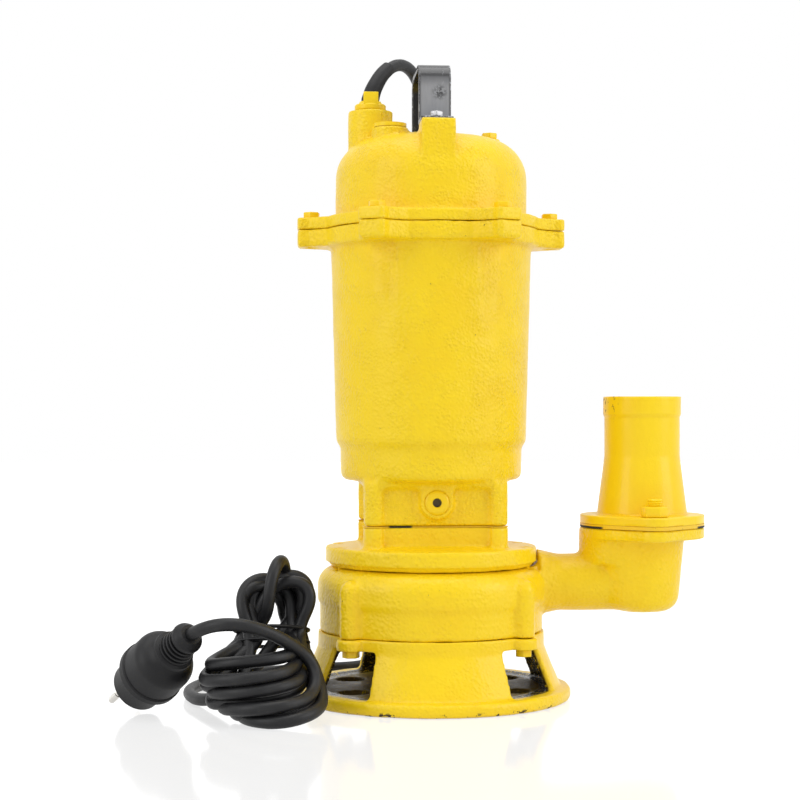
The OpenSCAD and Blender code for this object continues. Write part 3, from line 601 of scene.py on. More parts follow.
class Form:
    """A shape under construction, made with bmesh operators, in millimetres."""

    MERGE = 1e-4
    SHARP = math.radians(40.0)

    def __init__(self) -> None:
        """Starts with nothing."""
        self.bm = bmesh.new()

    def _fresh(self, before: set[bmesh.types.BMVert]) -> list[bmesh.types.BMVert]:
        """The vertices that were made since a set of them was taken."""
        return [v for v in self.bm.verts if v not in before]

    def spin(self, profile: Sequence[Pair], steps: int, place: Matrix) -> "Form":
        """Turns a closed profile about Z.

        Args:
            profile: (radius, height) points; where it starts and ends on the axis it closes there.
            steps: The number of segments.
            place: Where the turned shape goes.

        Returns:
            The form itself.
        """
        before = set(self.bm.verts)
        verts = [self.bm.verts.new((r, 0.0, z)) for r, z in profile]
        edges = [self.bm.edges.new(pair) for pair in zip(verts, verts[1:])]
        if profile[0][0] > 0.0 or profile[-1][0] > 0.0:
            edges.append(self.bm.edges.new((verts[-1], verts[0])))
        bmesh.ops.spin(self.bm, geom=verts + edges, cent=(0, 0, 0), axis=(0, 0, 1),
                       angle=2 * math.pi, steps=steps, use_merge=True)
        bmesh.ops.remove_doubles(self.bm, verts=self._fresh(before), dist=self.MERGE)
        bmesh.ops.transform(self.bm, matrix=place, verts=self._fresh(before))
        return self

    def block(self, low: Point, high: Point, place: Matrix) -> "Form":
        """A block between two corners.

        Args:
            low: Its lowest corner.
            high: Its highest corner.
            place: Where it goes.

        Returns:
            The form itself.
        """
        middle = Matrix.Translation((Vector(low) + Vector(high)) / 2)
        stretch = Matrix.Diagonal((*(Vector(high) - Vector(low)), 1.0))
        bmesh.ops.create_cube(self.bm, size=1.0, matrix=place @ middle @ stretch)
        return self

    def nut(self, across: float, low: float, high: float, bore: float, place: Matrix) -> "Form":
        """A hexagon with chamfered corners, on its axis.

        Args:
            across: The size across flats.
            low: The height of its bottom.
            high: The height of its top.
            bore: The radius of its hole, or 0.
            place: Where it goes.

        Returns:
            The form itself.
        """
        before = set(self.bm.verts)
        corner = across / math.sqrt(3.0)
        inset, drop = corner * 0.10, corner * 0.06
        rim = [(corner - inset, low), (corner, low + drop), (corner, high - drop), (corner - inset, high)]
        self.spin([(bore, low), *rim, (bore, high)], 6, turn(30.0, "Z"))
        poles = [v for v in self._fresh(before) if v.co.xy.length < self.MERGE]
        bmesh.ops.dissolve_verts(self.bm, verts=poles)
        bmesh.ops.transform(self.bm, matrix=place, verts=self._fresh(before))
        return self

    def thread(self, radius: float, low: float, high: float, pitch: float, place: Matrix) -> "Form":
        """A threaded rod, drawn as a row of ridges.

        Args:
            radius: The outer radius.
            low: The height of its lower end.
            high: The height of its upper end.
            pitch: About how far the ridges are apart.
            place: Where it goes.

        Returns:
            The form itself.
        """
        count = max(2, int((high - low) / pitch))
        pitch = (high - low) / count
        root = radius - 0.5 * pitch
        profile = [(0.0, low), (root, low)]
        for i in range(count):
            profile += [(radius, low + (i + 0.5) * pitch), (root, low + (i + 1) * pitch)]
        return self.spin(profile + [(0.0, high)], 24, place)

    def copied(self, node: str) -> "Form":
        """Takes in a frame node's mesh, with its loose triangles merged.

        Args:
            node: The node.

        Returns:
            The form itself.
        """
        self.bm.from_mesh(frame["nodes"][node].data)
        bmesh.ops.scale(self.bm, vec=(1 / MM, 1 / MM, 1 / MM), verts=self.bm.verts)
        bmesh.ops.remove_doubles(self.bm, verts=self.bm.verts, dist=2e-3)
        return self

    def softened(self, offset: float, segments: int = 2) -> "Form":
        """Rounds every sharp edge.

        Args:
            offset: The width of the rounding.
            segments: How many strips it has.

        Returns:
            The form itself.
        """
        sharp = [e for e in self.bm.edges
                 if len(e.link_faces) == 2 and e.calc_face_angle(0.0) > self.SHARP]
        bmesh.ops.bevel(self.bm, geom=sharp, offset=offset, segments=segments, profile=0.5,
                        affect="EDGES", clamp_overlap=True, material=-1)
        return self

    def outwards(self) -> "Form":
        """Turns all faces outwards."""
        bmesh.ops.recalc_face_normals(self.bm, faces=self.bm.faces)
        return self

    def mesh(self, name: str) -> Mesh:
        """Ends the form.

        Args:
            name: The mesh's name.

        Returns:
            The mesh, in metres.
        """
        bmesh.ops.scale(self.bm, vec=(MM, MM, MM), verts=self.bm.verts)
        made = bpy.data.meshes.new(name)
        self.bm.to_mesh(made)
        self.bm.free()
        return made


def shown(data: bpy.types.ID) -> Piece:
    """Puts something in the scene.

    Args:
        data: A mesh, curve, lamp or camera.

    Returns:
        Its object, which has the same name.
    """
    held = bpy.data.objects.new(data.name, data)
    bpy.context.scene.collection.objects.link(held)
    return held


@dataclass
class Workshop:
    """Makes pieces of meshes and curves, and gives them their finish and body."""

    finishes: dict[str, object]
    made: dict[str, Material] = field(default_factory=dict)
    replaced: set[str] = field(default_factory=set)

    def material(self, key: str) -> Material:
        """Finds the material of a finish, or makes it.

        Args:
            key: The key of the finish.

        Returns:
            The material.
        """
        if key not in self.made:
            self.made[key] = self.finishes[key].make()
        return self.made[key]

    def put(self, made: Union[Mesh, bpy.types.Curve], finish: str, slot: str, *nodes: str,
            sharp: float = 38.0) -> Piece:
        """Makes a piece of the pump's body from a mesh or curve.

        Args:
            made: The mesh or curve; the piece gets its name.
            finish: The key of its finish.
            slot: The record's material slot. Not used.
            nodes: The frame nodes that it stands for.
            sharp: The angle past which a mesh's edge is shaded sharp, in degrees.

        Returns:
            The piece.
        """
        piece = shown(made)
        made.materials.append(self.material(finish))
        if isinstance(made, Mesh):
            made.shade_smooth()
            made.set_sharp_from_angle(angle=math.radians(sharp))
        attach(piece, "pump")
        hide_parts(*nodes)
        self.replaced.update(nodes)
        LOG.info("%s: %s for %s", piece.name, finish, ", ".join(nodes))
        return piece

    def dress(self, node: str, finish: str) -> None:
        """Gives a frame node a finish.

        Args:
            node: The node.
            finish: The key of the finish.
        """
        for held in frame["nodes"][node].material_slots:
            held.material = self.material(finish)
        LOG.info("%s: %s", node, finish)


# ---------------------------------------------------------------- castings


def skin(mesh: Mesh) -> tuple[np.ndarray, np.ndarray]:
    """The places and normals of a mesh's vertices.

    Args:
        mesh: The mesh.

    Returns:
        Two arrays with a row for each vertex.
    """
    place = np.empty(len(mesh.vertices) * 3, dtype=np.float32)
    normal = np.empty_like(place)
    mesh.vertices.foreach_get("co", place)
    mesh.vertices.foreach_get("normal", normal)
    return place.reshape(-1, 3), normal.reshape(-1, 3)


def marked_edges(mesh: Mesh, radius: float = 2.0) -> None:
    """Stores on each vertex how convex the skin is there, for wear, for painted shade in hollows and for
    painted highlights on edges.

    Args:
        mesh: The mesh, in metres.
        radius: The edge radius in millimetres that counts as fully sharp.
    """
    count = len(mesh.vertices)
    place, normal = skin(mesh)
    place = place / MM
    pairs = np.empty(len(mesh.edges) * 2, dtype=np.int64)
    mesh.edges.foreach_get("vertices", pairs)
    a, b = pairs.reshape(-1, 2).T
    degree = np.maximum(np.bincount(a, minlength=count) + np.bincount(b, minlength=count), 1)
    step = np.linalg.norm(place[a] - place[b], axis=1)
    spread = (np.bincount(a, step ** 2, count) + np.bincount(b, step ** 2, count)) / degree
    inward = np.stack([np.bincount(a, place[b, k] - place[a, k], count)
                       + np.bincount(b, place[a, k] - place[b, k], count) for k in range(3)], axis=1)
    bend = -2.0 * (inward * normal).sum(axis=1) / degree / np.maximum(spread, 1e-9)
    for _ in range(3):
        bend = (bend + (np.bincount(a, bend[b], count) + np.bincount(b, bend[a], count)) / degree) / 2
    value = np.clip(bend * radius, -1.0, 1.0).astype(np.float32)
    mesh.attributes.new("edge", "FLOAT", "POINT").data.foreach_set("value", value)


def rippled(mesh: Mesh, depth: float, size: float) -> None:
    """Moves a skin in and out a little, as a sand casting is uneven.

    Args:
        mesh: The mesh, in metres.
        depth: How far, in millimetres.
        size: The size of a hollow, in millimetres.
    """
    scale = 1.0 / (size * MM)
    place, normal = skin(mesh)
    swell = np.array([noise.noise(Vector(p) * scale) + 0.5 * noise.noise(Vector(p) * scale * 2.7)
                      for p in place])
    place += normal * ((swell - 0.5) * depth * MM)[:, None]
    mesh.vertices.foreach_set("co", place.ravel())
    mesh.update()


@dataclass
class Casting:
    """A piece that takes its walls and bores from a frame node, with softened corners."""

    node: str = ""
    finish: str = "casing_enamel"
    voxel: float = 1.2
    rounds: int = 3
    ripple: float = 0.22
    hollow: float = 16.0
    slot: str = "yellow_paint"

    def _fused(self) -> Mesh:
        """Fuses the node's solid into one skin of voxels and softens its corners.

        Returns:
            The fused mesh, in metres.
        """
        rough = shown(Form().copied(self.node).mesh(self.node + "_rough"))
        fuse = rough.modifiers.new("fuse", "REMESH")
        fuse.mode = "VOXEL"
        fuse.voxel_size = self.voxel * 1.0 * MM
        relax = rough.modifiers.new("relax", "SMOOTH")
        relax.factor = 0.5
        relax.iterations = self.rounds
        seen = rough.evaluated_get(bpy.context.evaluated_depsgraph_get())
        fused = bpy.data.meshes.new_from_object(seen)
        fused.name = self.node + "_cast"
        bpy.data.meshes.remove(rough.data)
        return fused

    def build(self, shop: Workshop) -> Piece:
        """Makes the casting.

        Args:
            shop: The workshop.

        Returns:
            The casting.
        """
        mesh = self._fused()
        if self.ripple > 0.0:
            rippled(mesh, self.ripple, self.hollow)
        marked_edges(mesh)
        return shop.put(mesh, self.finish, self.slot, self.node, sharp=80.0)


@dataclass
class StrainerBase(Casting):
    """The foot: a round floor with inlet holes, four legs and a top ring."""

    node: str = "strainer_base"
    finish: str = "base_enamel"


@dataclass
class PumpCasing(Casting):
    """The volute with its corner bosses, outlet pipe and elbow."""

    node: str = "pump_casing"
    voxel: float = 1.6


@dataclass
class HoseTail(Casting):
    """The flange and the hose tail on top of the elbow, which are smoother than the rest."""

    node: str = "outlet_nozzle"
    finish: str = "tail_enamel"
    voxel: float = 0.8
    rounds: int = 2
    ripple: float = 0.08


@dataclass
class PumpLid(Casting):
    """The lid of the volute with the lower half of the pedestal."""

    node: str = "pump_lid"


@dataclass
class MotorHousing(Casting):
    """The upper half of the pedestal and the motor's barrel, with its bolt flange."""

    node: str = "motor_housing"
    finish: str = "barrel_enamel"
    voxel: float = 1.65


@dataclass
class TopCover(Casting):
    """The cover: bolt flange, dome, handle posts and the cable boss."""

    node: str = "top_cover"
    finish: str = "cover_enamel"


@dataclass
class CarryHandle(Casting):
    """The bent steel strap, which is no casting but gets its soft corners in the same way."""

    node: str = "carry_handle"
    finish: str = "black_strap"
    voxel: float = 0.7
    rounds: int = 2
    ripple: float = 0.0
    slot: str = "black_paint"


# ---------------------------------------------------------------- fasteners


class Facing(Enum):
    """Which way a fastener's head points."""

    UP = 1
    DOWN = -1


def islands(node: str) -> list[tuple[Vector, Vector]]:
    """The boxes of a node's separate solids, in millimetres.

    Args:
        node: The frame node.

    Returns:
        The lowest and highest corner of each solid.
    """
    form = Form().copied(node)
    seen: set[bmesh.types.BMVert] = set()
    boxes = []
    for start in form.bm.verts:
        stack, found = [start], []
        while stack:
            vert = stack.pop()
            if vert not in seen:
                seen.add(vert)
                found.append(vert.co)
                stack += [edge.other_vert(vert) for edge in vert.link_edges]
        if found:
            boxes.append((Vector(map(min, zip(*found))), Vector(map(max, zip(*found)))))
    form.bm.free()
    return boxes


@dataclass
class Fasteners:
    """A set of like fasteners, one on each separate solid of a frame node."""

    node: str
    ending: str = "hex"
    rounding: float = 0.35
    finish: str = "fastener_enamel"
    slot: str = "yellow_paint"

    def hexagon(self, form: Form, index: int, low: Vector, high: Vector) -> None:
        """Adds the rounded part of one fastener, for the kinds that have one."""

    def shank(self, form: Form, low: Vector, high: Vector) -> None:
        """Adds the part of one fastener that stays sharp, for the kinds that have one."""

    def build(self, shop: Workshop) -> Piece:
        """Makes the fasteners.

        Args:
            shop: The workshop.

        Returns:
            The piece.
        """
        form = Form()
        solids = islands(self.node)
        for index, (low, high) in enumerate(solids):
            self.hexagon(form, index, low, high)
        form.outwards().softened(self.rounding)
        for low, high in solids:
            self.shank(form, low, high)
        mesh = form.outwards().mesh(f"{self.node}_{self.ending}")
        return shop.put(mesh, self.finish, self.slot, self.node)


@dataclass
class HexBolts(Fasteners):
    """Hexagon bolts: chamfered heads on threaded shanks that reach a little way into them."""

    across: float = 10.0
    head: float = 4.0
    radius: float = 3.0
    facing: Facing = Facing.UP
    reach: float = 0.1
    twist: float = 17.0

    def hexagon(self, form: Form, index: int, low: Vector, high: Vector) -> None:
        """Adds one head, turned a little further than the last one.

        Args:
            form: The form that it is added to.
            index: Which head it is.
            low: The lowest corner of the bolt's solid.
            high: The highest corner.
        """
        start = high.z - self.head if self.facing is Facing.UP else low.z
        place = on_axis(low, high, 0.0, turn(self.twist * index, "Z"))
        form.nut(self.across, start, start + self.head, 0.0, place)

    def shank(self, form: Form, low: Vector, high: Vector) -> None:
        """Adds one threaded shank."""
        below, above = (0.0, self.head - self.reach)[::self.facing.value]
        form.thread(self.radius, low.z + below, high.z - above, 1.0, on_axis(low, high))


@dataclass
class Studs(Fasteners):
    """Threaded studs without heads."""

    ending: str = "threaded"
    radius: float = 5.0
    pitch: float = 1.5

    def shank(self, form: Form, low: Vector, high: Vector) -> None:
        """Adds one stud."""
        form.thread(self.radius, low.z, high.z, self.pitch, on_axis(low, high))


@dataclass
class HexNuts(Fasteners):
    """Hexagon nuts."""

    rounding: float = 0.4
    across: float = 16.0
    bore: float = 5.1
    twist: Pair = (11.0, 24.0)

    def hexagon(self, form: Form, index: int, low: Vector, high: Vector) -> None:
        """Adds one nut, turned further than the last one."""
        place = on_axis(low, high, 0.0, turn(self.twist[0] + self.twist[1] * index, "Z"))
        form.nut(self.across, low.z, high.z, self.bore, place)


@dataclass
class SocketScrews(Fasteners):
    """Socket-head cap screws that point up."""

    ending: str = "cap"
    head_radius: float = 3.7
    head: float = 4.0
    radius: float = 2.0
    socket: float = 3.0

    def shank(self, form: Form, low: Vector, high: Vector) -> None:
        """Adds one screw: its head with the socket, and its thread.

        Args:
            form: The form that it is added to.
            low: The lowest corner of the screw's solid.
            high: The highest corner.
        """
        place = on_axis(low, high, high.z)
        key, wide, under = self.socket / math.sqrt(3.0), self.head_radius, -self.head
        floor = under * 0.6
        form.spin([(0.0, floor), (key, floor), (key, -0.2), (key + 0.3, 0.0), (wide - 0.5, 0.0),
                   (wide, -0.5), (wide, under), (self.radius, under), (self.radius, under - 0.2),
                   (0.0, under - 0.2)], 30, place)
        form.thread(self.radius, low.z - high.z, under, 0.8, place)


@dataclass
class OilPlug:
    """The socket plug of the oil chamber, in its boss on the front."""

    node: str = "oil_plug"
    radius: float = 7.8
    socket: float = 5.0
    stub: float = 6.0

    def build(self, shop: Workshop) -> Piece:
        """Makes the plug: a crowned flange with a round recess for the key, on a threaded stub.

        Args:
            shop: The workshop.

        Returns:
            The piece.
        """
        low, high = frame_mm(self.node)
        place = Matrix.Translation(((low.x + high.x) / 2, low.y, (low.z + high.z) / 2)) @ turn(-90, "X")
        key, wide, stub = self.socket / math.sqrt(3.0), self.radius, self.stub
        form = Form().spin([(0.0, 4.0), (key, 4.0), (key, 0.55), (key + 0.5, 0.1), (wide - 2.2, 0.0),
                            (wide - 0.7, 0.35), (wide, 1.0), (wide, 1.9), (stub, 2.0), (stub, 5.2),
                            (0.0, 5.2)], 48, place)
        form.thread(stub - 0.1, 5.0, high.y - low.y, 1.2, place).outwards()
        return shop.put(form.mesh("oil_plug_turned"), "keyhole_enamel", "yellow_paint", self.node)


# ---------------------------------------------------------------- cable entry and lead


def smooth_route(points: Sequence[Point], steps: int = 8) -> list[Vector]:
    """A smooth line through points, each passed at its own place.

    Args:
        points: The points, in any unit.
        steps: The number of pieces between two points.

    Returns:
        The line's points.
    """
    held = [Vector(p) for p in (points[0], *points, points[-1])]
    line = []
    for a, b, c, d in zip(held, held[1:], held[2:], held[3:]):
        for t in (step / steps for step in range(steps)):
            line.append(0.5 * ((2 * b) + (c - a) * t + (2 * a - 5 * b + 4 * c - d) * t * t
                               + (3 * b - a - 3 * c + d) * t ** 3))
    return line + [held[-1]]


def tube_curve(name: str, points: Sequence[Vector], radius: float, sides: int = 6,
               taper: Callable[[float], float] = lambda share: 1.0) -> bpy.types.Curve:
    """A round tube along a line.

    Args:
        name: The curve's name.
        points: The line, in metres.
        radius: The tube's radius in metres.
        sides: The curve's bevel resolution.
        taper: The factor on the radius at a share of the way along.

    Returns:
        The curve.
    """
    curve = bpy.data.curves.new(name, "CURVE")
    curve.dimensions = "3D"
    curve.bevel_depth = radius
    curve.bevel_resolution = sides
    curve.use_fill_caps = True
    curve.twist_smooth = 4.0
    spline = curve.splines.new("POLY")
    spline.points.add(len(points) - 1)
    spline.use_smooth = True
    for index, (held, point) in enumerate(zip(spline.points, points)):
        held.co = (*point, 1.0)
        held.radius = taper(index / (len(points) - 1))
    return curve


def relaxed(points: Sequence[Vector], step: float, rounds: int) -> list[Vector]:
    """Evens out a line, as a stiff lead takes out its own kinks.

    Args:
        points: The line.
        step: The distance between the new line's points.
        rounds: How often each point is drawn towards its neighbours.

    Returns:
        The new line, with the same ends.
    """
    even, spare = [points[0]], 0.0
    for a, b in zip(points, points[1:]):
        length = (b - a).length
        while spare + length >= step:
            a = a.lerp(b, (step - spare) / length)
            length = (b - a).length
            spare = 0.0
            even.append(a)
        spare += length
    even[-1] = points[-1]
    for _ in range(rounds):
        inner = [b * 0.5 + (a + c) * 0.25 for a, b, c in zip(even, even[1:], even[2:])]
        even = [even[0], *inner, even[-1]]
    return even


@dataclass
class Fold:
    """One turn of the folded lead: an upright loop over the waist and a lying loop before it.

    The crown is the upright loop's top, from the waist. Its half width is half, and lean is the
    angle of its plane from the front. The lying loop bends at left, passes front and bends at
    right.
    """

    crown: Point
    half: float
    lean: float
    left: Point
    front: Point
    right: Point


@dataclass
class MainsLead:
    """The mains lead: from the gland over the dome, down behind, into its folds and to the plug."""

    diameter: float = 8.2
    waist: Point = (-107.0, -46.0, 48.0)
    gland_to_folds: list[Point] = field(default_factory=lambda: [
        (-41, 0, 402), (-38.5, 2, 410), (-33, 7, 420), (-26, 14, 428), (-18, 25, 432), (-9, 39, 429),
        (-2, 54, 417), (4, 67, 400), (7, 77, 375), (8, 82, 345), (8, 83, 310), (8, 82, 270),
        (8, 81, 230), (8, 82, 190), (7, 83, 150), (6, 85, 115), (4, 88, 82), (0, 93, 52),
        (-8, 101, 28), (-22, 110, 12), (-40, 115, 5), (-64, 114, 4), (-92, 106, 4), (-119, 88, 4),
        (-142, 62, 4), (-158, 32, 4), (-163, 2, 4), (-156, -28, 4), (-143, -50, 8), (-126, -62, 18)])
    folds_to_plug: list[Point] = field(default_factory=lambda: [
        (-77, -92, 28), (-84, -84, 39), (-92, -94, 46), (-103, -101, 54), (-116, -107, 60),
        (-130, -110, 63), (-143, -107, 62), (-151, -101, 58.5), (-157, -92.5, 54)])
    folds: list[Fold] = field(default_factory=lambda: [
        Fold((0, 16, 36), 18, 20, (-150, -78, 21), (-120, -107, 26), (-91, -88, 31)),
        Fold((14, 10, 40), 18, 5, (-147, -82, 34), (-120, -106, 39), (-92, -87, 42)),
        Fold((5, 8, 39), 19, 12, (-145, -84, 18), (-117, -116, 22), (-88, -93, 27)),
        Fold((-10, 0, 34), 17, 30, (-131, -84, 5), (-104, -115, 7), (-80, -92, 13)),
        Fold((-6, 6, 38), 19, 20, (-126, -90, 4), (-100, -123, 4), (-75, -97, 12)),
        Fold((6, -2, 51), 17, 72, (-150, -88, 26), (-121, -116, 30), (-93, -96, 34)),
        Fold((16, -4, 37), 18, -12, (-146, -78, 10), (-119, -106, 15), (-89, -86, 20)),
        Fold((12, 6, 36), 17, -24, (-138, -87, 9), (-111, -122, 12.5), (-82, -99, 17))])
    waist_start: float = 4.2
    waist_step: float = 2.2
    waist_depths: tuple[float, ...] = (-9.0, 3.0, -3.0, 9.0)
    even_step: float = 2.5
    relax_rounds: int = 30

    def _passes(self, index: int) -> tuple[Vector, Vector]:
        """Where a turn passes the waist.

        Args:
            index: The turn.

        Returns:
            Its places at the right and at the left of the waist.
        """
        out = self.waist_start + self.waist_step * index
        deep = self.waist_depths[index % len(self.waist_depths)]
        return tuple(Vector(self.waist) + Vector((side * out, deep, 0.0)) for side in (1, -1))

    def _upright(self, index: int) -> list[Vector]:
        """The points of a turn's upright loop.

        Args:
            index: The turn.

        Returns:
            The points, from the waist's right to its left.
        """
        one = self.folds[index]
        across = turn(one.lean, "Z") @ Vector((one.half, 0.0, 0.0))
        right, left = self._passes(index)
        rise = [(0.26, 0.74), (0.52, 1.0), (0.78, 0.83), (0.94, 0.46)]
        shape = rise + [(1.0, 0.0)] + [(share, -wide) for share, wide in rise[::-1]]
        middle = Vector(((right.x + left.x) / 2, right.y, right.z))
        crown = Vector(self.waist) + Vector(one.crown)
        return [right, *(middle.lerp(crown, share) + across * wide for share, wide in shape), left]

    def _lying(self, index: int) -> list[Vector]:
        """The points of a turn's lying loop.

        Args:
            index: The turn.

        Returns:
            The points, round the front from left to right.
        """
        one = self.folds[index]
        left, front, right = Vector(one.left), Vector(one.front), Vector(one.right)
        loop = [self._passes(index)[1].lerp(left, 0.55) + Vector((0.0, 3.0, 0.0)), left]
        for start, stop, order in ((left, front, 1), (front, right, -1)):
            for angle in (math.radians(30), math.radians(60)):
                x, y = (1 - math.cos(angle), math.sin(angle))[::order]
                loop.append(start + (stop - start) * Vector((x, y, (x + y) / 2)))
            loop.append(stop)
        if index < len(self.folds) - 1:
            loop.append(right.lerp(self._passes(index + 1)[0], 0.45) + Vector((3.0, 3.0, 0.0)))
        return loop

    def route(self) -> list[Vector]:
        """The whole lead's line.

        Returns:
            Its points, in metres.
        """
        points = [Vector(p) for p in self.gland_to_folds]
        for index in range(len(self.folds)):
            points += self._upright(index) + self._lying(index)
        points += [Vector(p) for p in self.folds_to_plug]
        line = relaxed(smooth_route(points), self.even_step, self.relax_rounds)
        return [Vector((p.x, p.y, max(p.z, self.diameter / 2))) * MM for p in line]

    def build(self, shop: Workshop, with_pieces: Sequence[Piece]) -> Piece:
        """Makes the lead.

        Args:
            shop: The workshop.
            with_pieces: The plug's pieces, the ties and the strain relief. Not used.

        Returns:
            The lead.
        """
        line = self.route()
        curve = tube_curve("mains_lead", line, self.diameter * MM / 2)
        lead = shop.put(curve, "lead_sheath", "black_rubber", "cord_lead", "cord_hank_floor",
                        "cord_hank_top", "cord_plug_lead")
        return lead


@dataclass
class StrainRelief:
    """The tapered rubber sleeve where the lead leaves the gland."""

    start: float = 6.1
    stop: float = 4.8
    covered: int = 22

    def build(self, shop: Workshop, lead: MainsLead) -> Piece:
        """Makes the sleeve along the lead's first bend.

        Args:
            shop: The workshop.
            lead: The lead that it follows.

        Returns:
            The sleeve.
        """
        low, _ = frame_mm("strain_relief")
        bend = smooth_route(lead.gland_to_folds[:4])[:self.covered]
        line = [p * MM for p in (Vector((bend[0].x, bend[0].y, low.z)), *bend)]
        curve = tube_curve("strain_relief_sleeve", line, self.start * MM, 8,
                           lambda share: 1.0 - (1.0 - self.stop / self.start) * share)
        return shop.put(curve, "moulded_rubber", "black_rubber", "strain_relief")


@dataclass
class CableGland:
    """The gland nut with its two tongues, on the cable boss."""

    node: str = "cable_gland"
    radius: float = 10.5
    bore: float = 6.3
    nut: float = 4.8
    neck: float = 7.2
    tongue_at: float = 8.4
    tongue_size: Pair = (10.0, 2.4)
    tongue_drop: float = 1.8

    def build(self, shop: Workshop) -> Piece:
        """Makes the gland: a chamfered nut, a neck and two tongues.

        Args:
            shop: The workshop.

        Returns:
            The piece.
        """
        low, high = frame_mm(self.node)
        place, top, wide = on_axis(low, high), low.z + self.nut, self.radius
        form = Form()
        form.spin([(self.bore, low.z), (wide - 1.0, low.z), (wide, low.z + 1.0), (wide, top - 1.0),
                   (wide - 0.8, top), (self.neck + 0.8, top), (self.neck, top + 2.0),
                   (self.bore, top + 2.0)], 48, place)
        x, y = (size / 2 for size in self.tongue_size)
        for middle in (-self.tongue_at, self.tongue_at):
            form.block((-x, middle - y, top - 1.0), (x, middle + y, high.z - self.tongue_drop), place)
        form.outwards().softened(0.5, 3)
        return shop.put(form.mesh("cable_gland_nut"), "fastener_enamel", "yellow_paint", self.node)


@dataclass
class LeadTies:
    """The two thin ties round the waist of the folded lead."""

    heights: Pair = (-5.0, 3.0)
    lean: float = -16.0
    half_sizes: Point = (23.0, 17.0, 14.0)

    def build(self, shop: Workshop, lead: MainsLead) -> Piece:
        """Makes the ties.

        Args:
            shop: The workshop.
            lead: The lead that they hold.

        Returns:
            The ties.
        """
        form = Form()
        waist = Matrix.Translation(lead.waist) @ turn(self.lean, "X")
        profile = turned_arc((1.0, 0.0), 0.09, 0, 360, 10)[:-1]
        for height in self.heights:
            lifted = waist @ Matrix.Translation((0, 0, height))
            form.spin(profile, 64, lifted @ Matrix.Diagonal((*self.half_sizes, 1.0)))
        return shop.put(form.outwards().mesh("lead_ties"), "moulded_rubber", "black_rubber", "cord_ties")


@dataclass
class MainsPlug:
    """The moulded rubber plug with its pins and earth contacts."""

    at: Point = (-157.0, -92.5, 54.0)
    tilt: float = 122.0
    heading: float = 126.0
    ribs: int = 4
    rib_step: float = 3.1
    body_radius: float = 20.2
    rim_radius: float = 21.3
    nose_radius: float = 16.8
    shoulder: float = 9.5
    length: float = 74.0
    pin_at: float = 9.5
    pin_radius: float = 2.4
    contact_at: float = 15.8
    contact_half: Pair = (0.7, 2.0)

    def _profile(self) -> list[Pair]:
        """The plug's outline.

        Returns:
            (radius, height) points, from the lead's entry to the nose.
        """
        outline = [(0.0, 2.0), (4.2, 2.0), (4.2, -1.0), (6.6, -1.0)]
        outline += turned_arc((6.0, 4.5), 4.2, -60, 35, 5)
        z = 7.6
        for rib in range(self.ribs):
            r = 7.7 + 0.55 * rib
            outline += [(r, z), (r, z + 0.9), (r + 1.8, z + 1.2), (r + 2.0, z + 2.4)]
            z += self.rib_step
        outline += [(10.6, z), (11.6, z + 0.4), (13.2, z + 1.1), (13.4, z + 3.6), (12.4, z + 4.6),
                    (12.6, z + 5.3)]
        outline += turned_arc((self.body_radius - self.shoulder, 36.5), self.shoulder, -66, 6, 8)
        rim, nose, end = self.rim_radius, self.nose_radius, self.length
        return outline + [(rim - 0.9, 49.6), (rim - 1.6, 50.3), (rim - 0.6, 50.7), (rim, 51.4),
                          (rim, 55.4), (rim - 0.6, 56.0), (nose + 0.6, 56.2), (nose, 57.0),
                          (nose, end - 1.4), (nose - 1.2, end), (0.0, end)]

    def build(self, shop: Workshop) -> list[Piece]:
        """Makes the plug's body, pins and earth contacts.

        Args:
            shop: The workshop.

        Returns:
            The three pieces.
        """
        place = Matrix.Translation(self.at) @ turn(self.heading, "Z") @ turn(self.tilt, "Y")
        body = Form().spin(self._profile(), 96, place).outwards().mesh("plug_moulding")
        pins, contacts = Form(), Form()
        thin, wide = self.contact_half
        pin = [(0.0, 60.0), (2.0, 60.0), (2.0, 82.0), (self.pin_radius, 82.2)]
        pin += turned_arc((0.0, 91.0), self.pin_radius, 0, 90, 6)
        for side in (-1, 1):
            pins.spin(pin, 24, place @ Matrix.Translation((0, side * self.pin_at, 0)))
            mid = side * self.contact_at
            contacts.block((mid - thin, -wide, 60.0), (mid + thin, wide, self.length - 1.0), place)
        contacts.outwards().softened(0.2)
        return [shop.put(body, "moulded_rubber", "black_rubber", "plug_body"),
                shop.put(pins.outwards().mesh("plug_pin_pair"), "nickel", "zinc_steel", "plug_pins"),
                shop.put(contacts.mesh("earth_contact_pair"), "brass", "brass", "earth_contacts")]


# ---------------------------------------------------------------- inside


@dataclass(frozen=True)
class InnerWorks:
    """What the castings hide: wet end, seals, bearings, motor and electrical parts.

    These frame nodes are shown as they are, as is the plain plug on the dome. Each gets the finish
    that is named after its slot, unless finishes has another for the slot or the node.
    """

    finishes: dict[str, str] = field(default_factory=lambda: {
        "bright_steel": "ground_steel", "zinc_steel": "zinc", "lamination_steel": "laminations",
        "winding_copper": "windings", "black_rubber": "lead_sheath",
        "yellow_paint": "fastener_enamel", "outlet_gasket": "outlet_joint",
        "chamber_gasket": "chamber_joint"})

    def build(self, shop: Workshop) -> None:
        """Gives every node that no piece stands for its finish.

        Args:
            shop: The workshop.
        """
        for part in frame["record"]["subparts"]:
            node, slot = part["node"], part["material_slot"]
            if node not in shop.replaced:
                shop.dress(node, self.finishes.get(node, self.finishes.get(slot, slot)))


# ---------------------------------------------------------------- studio


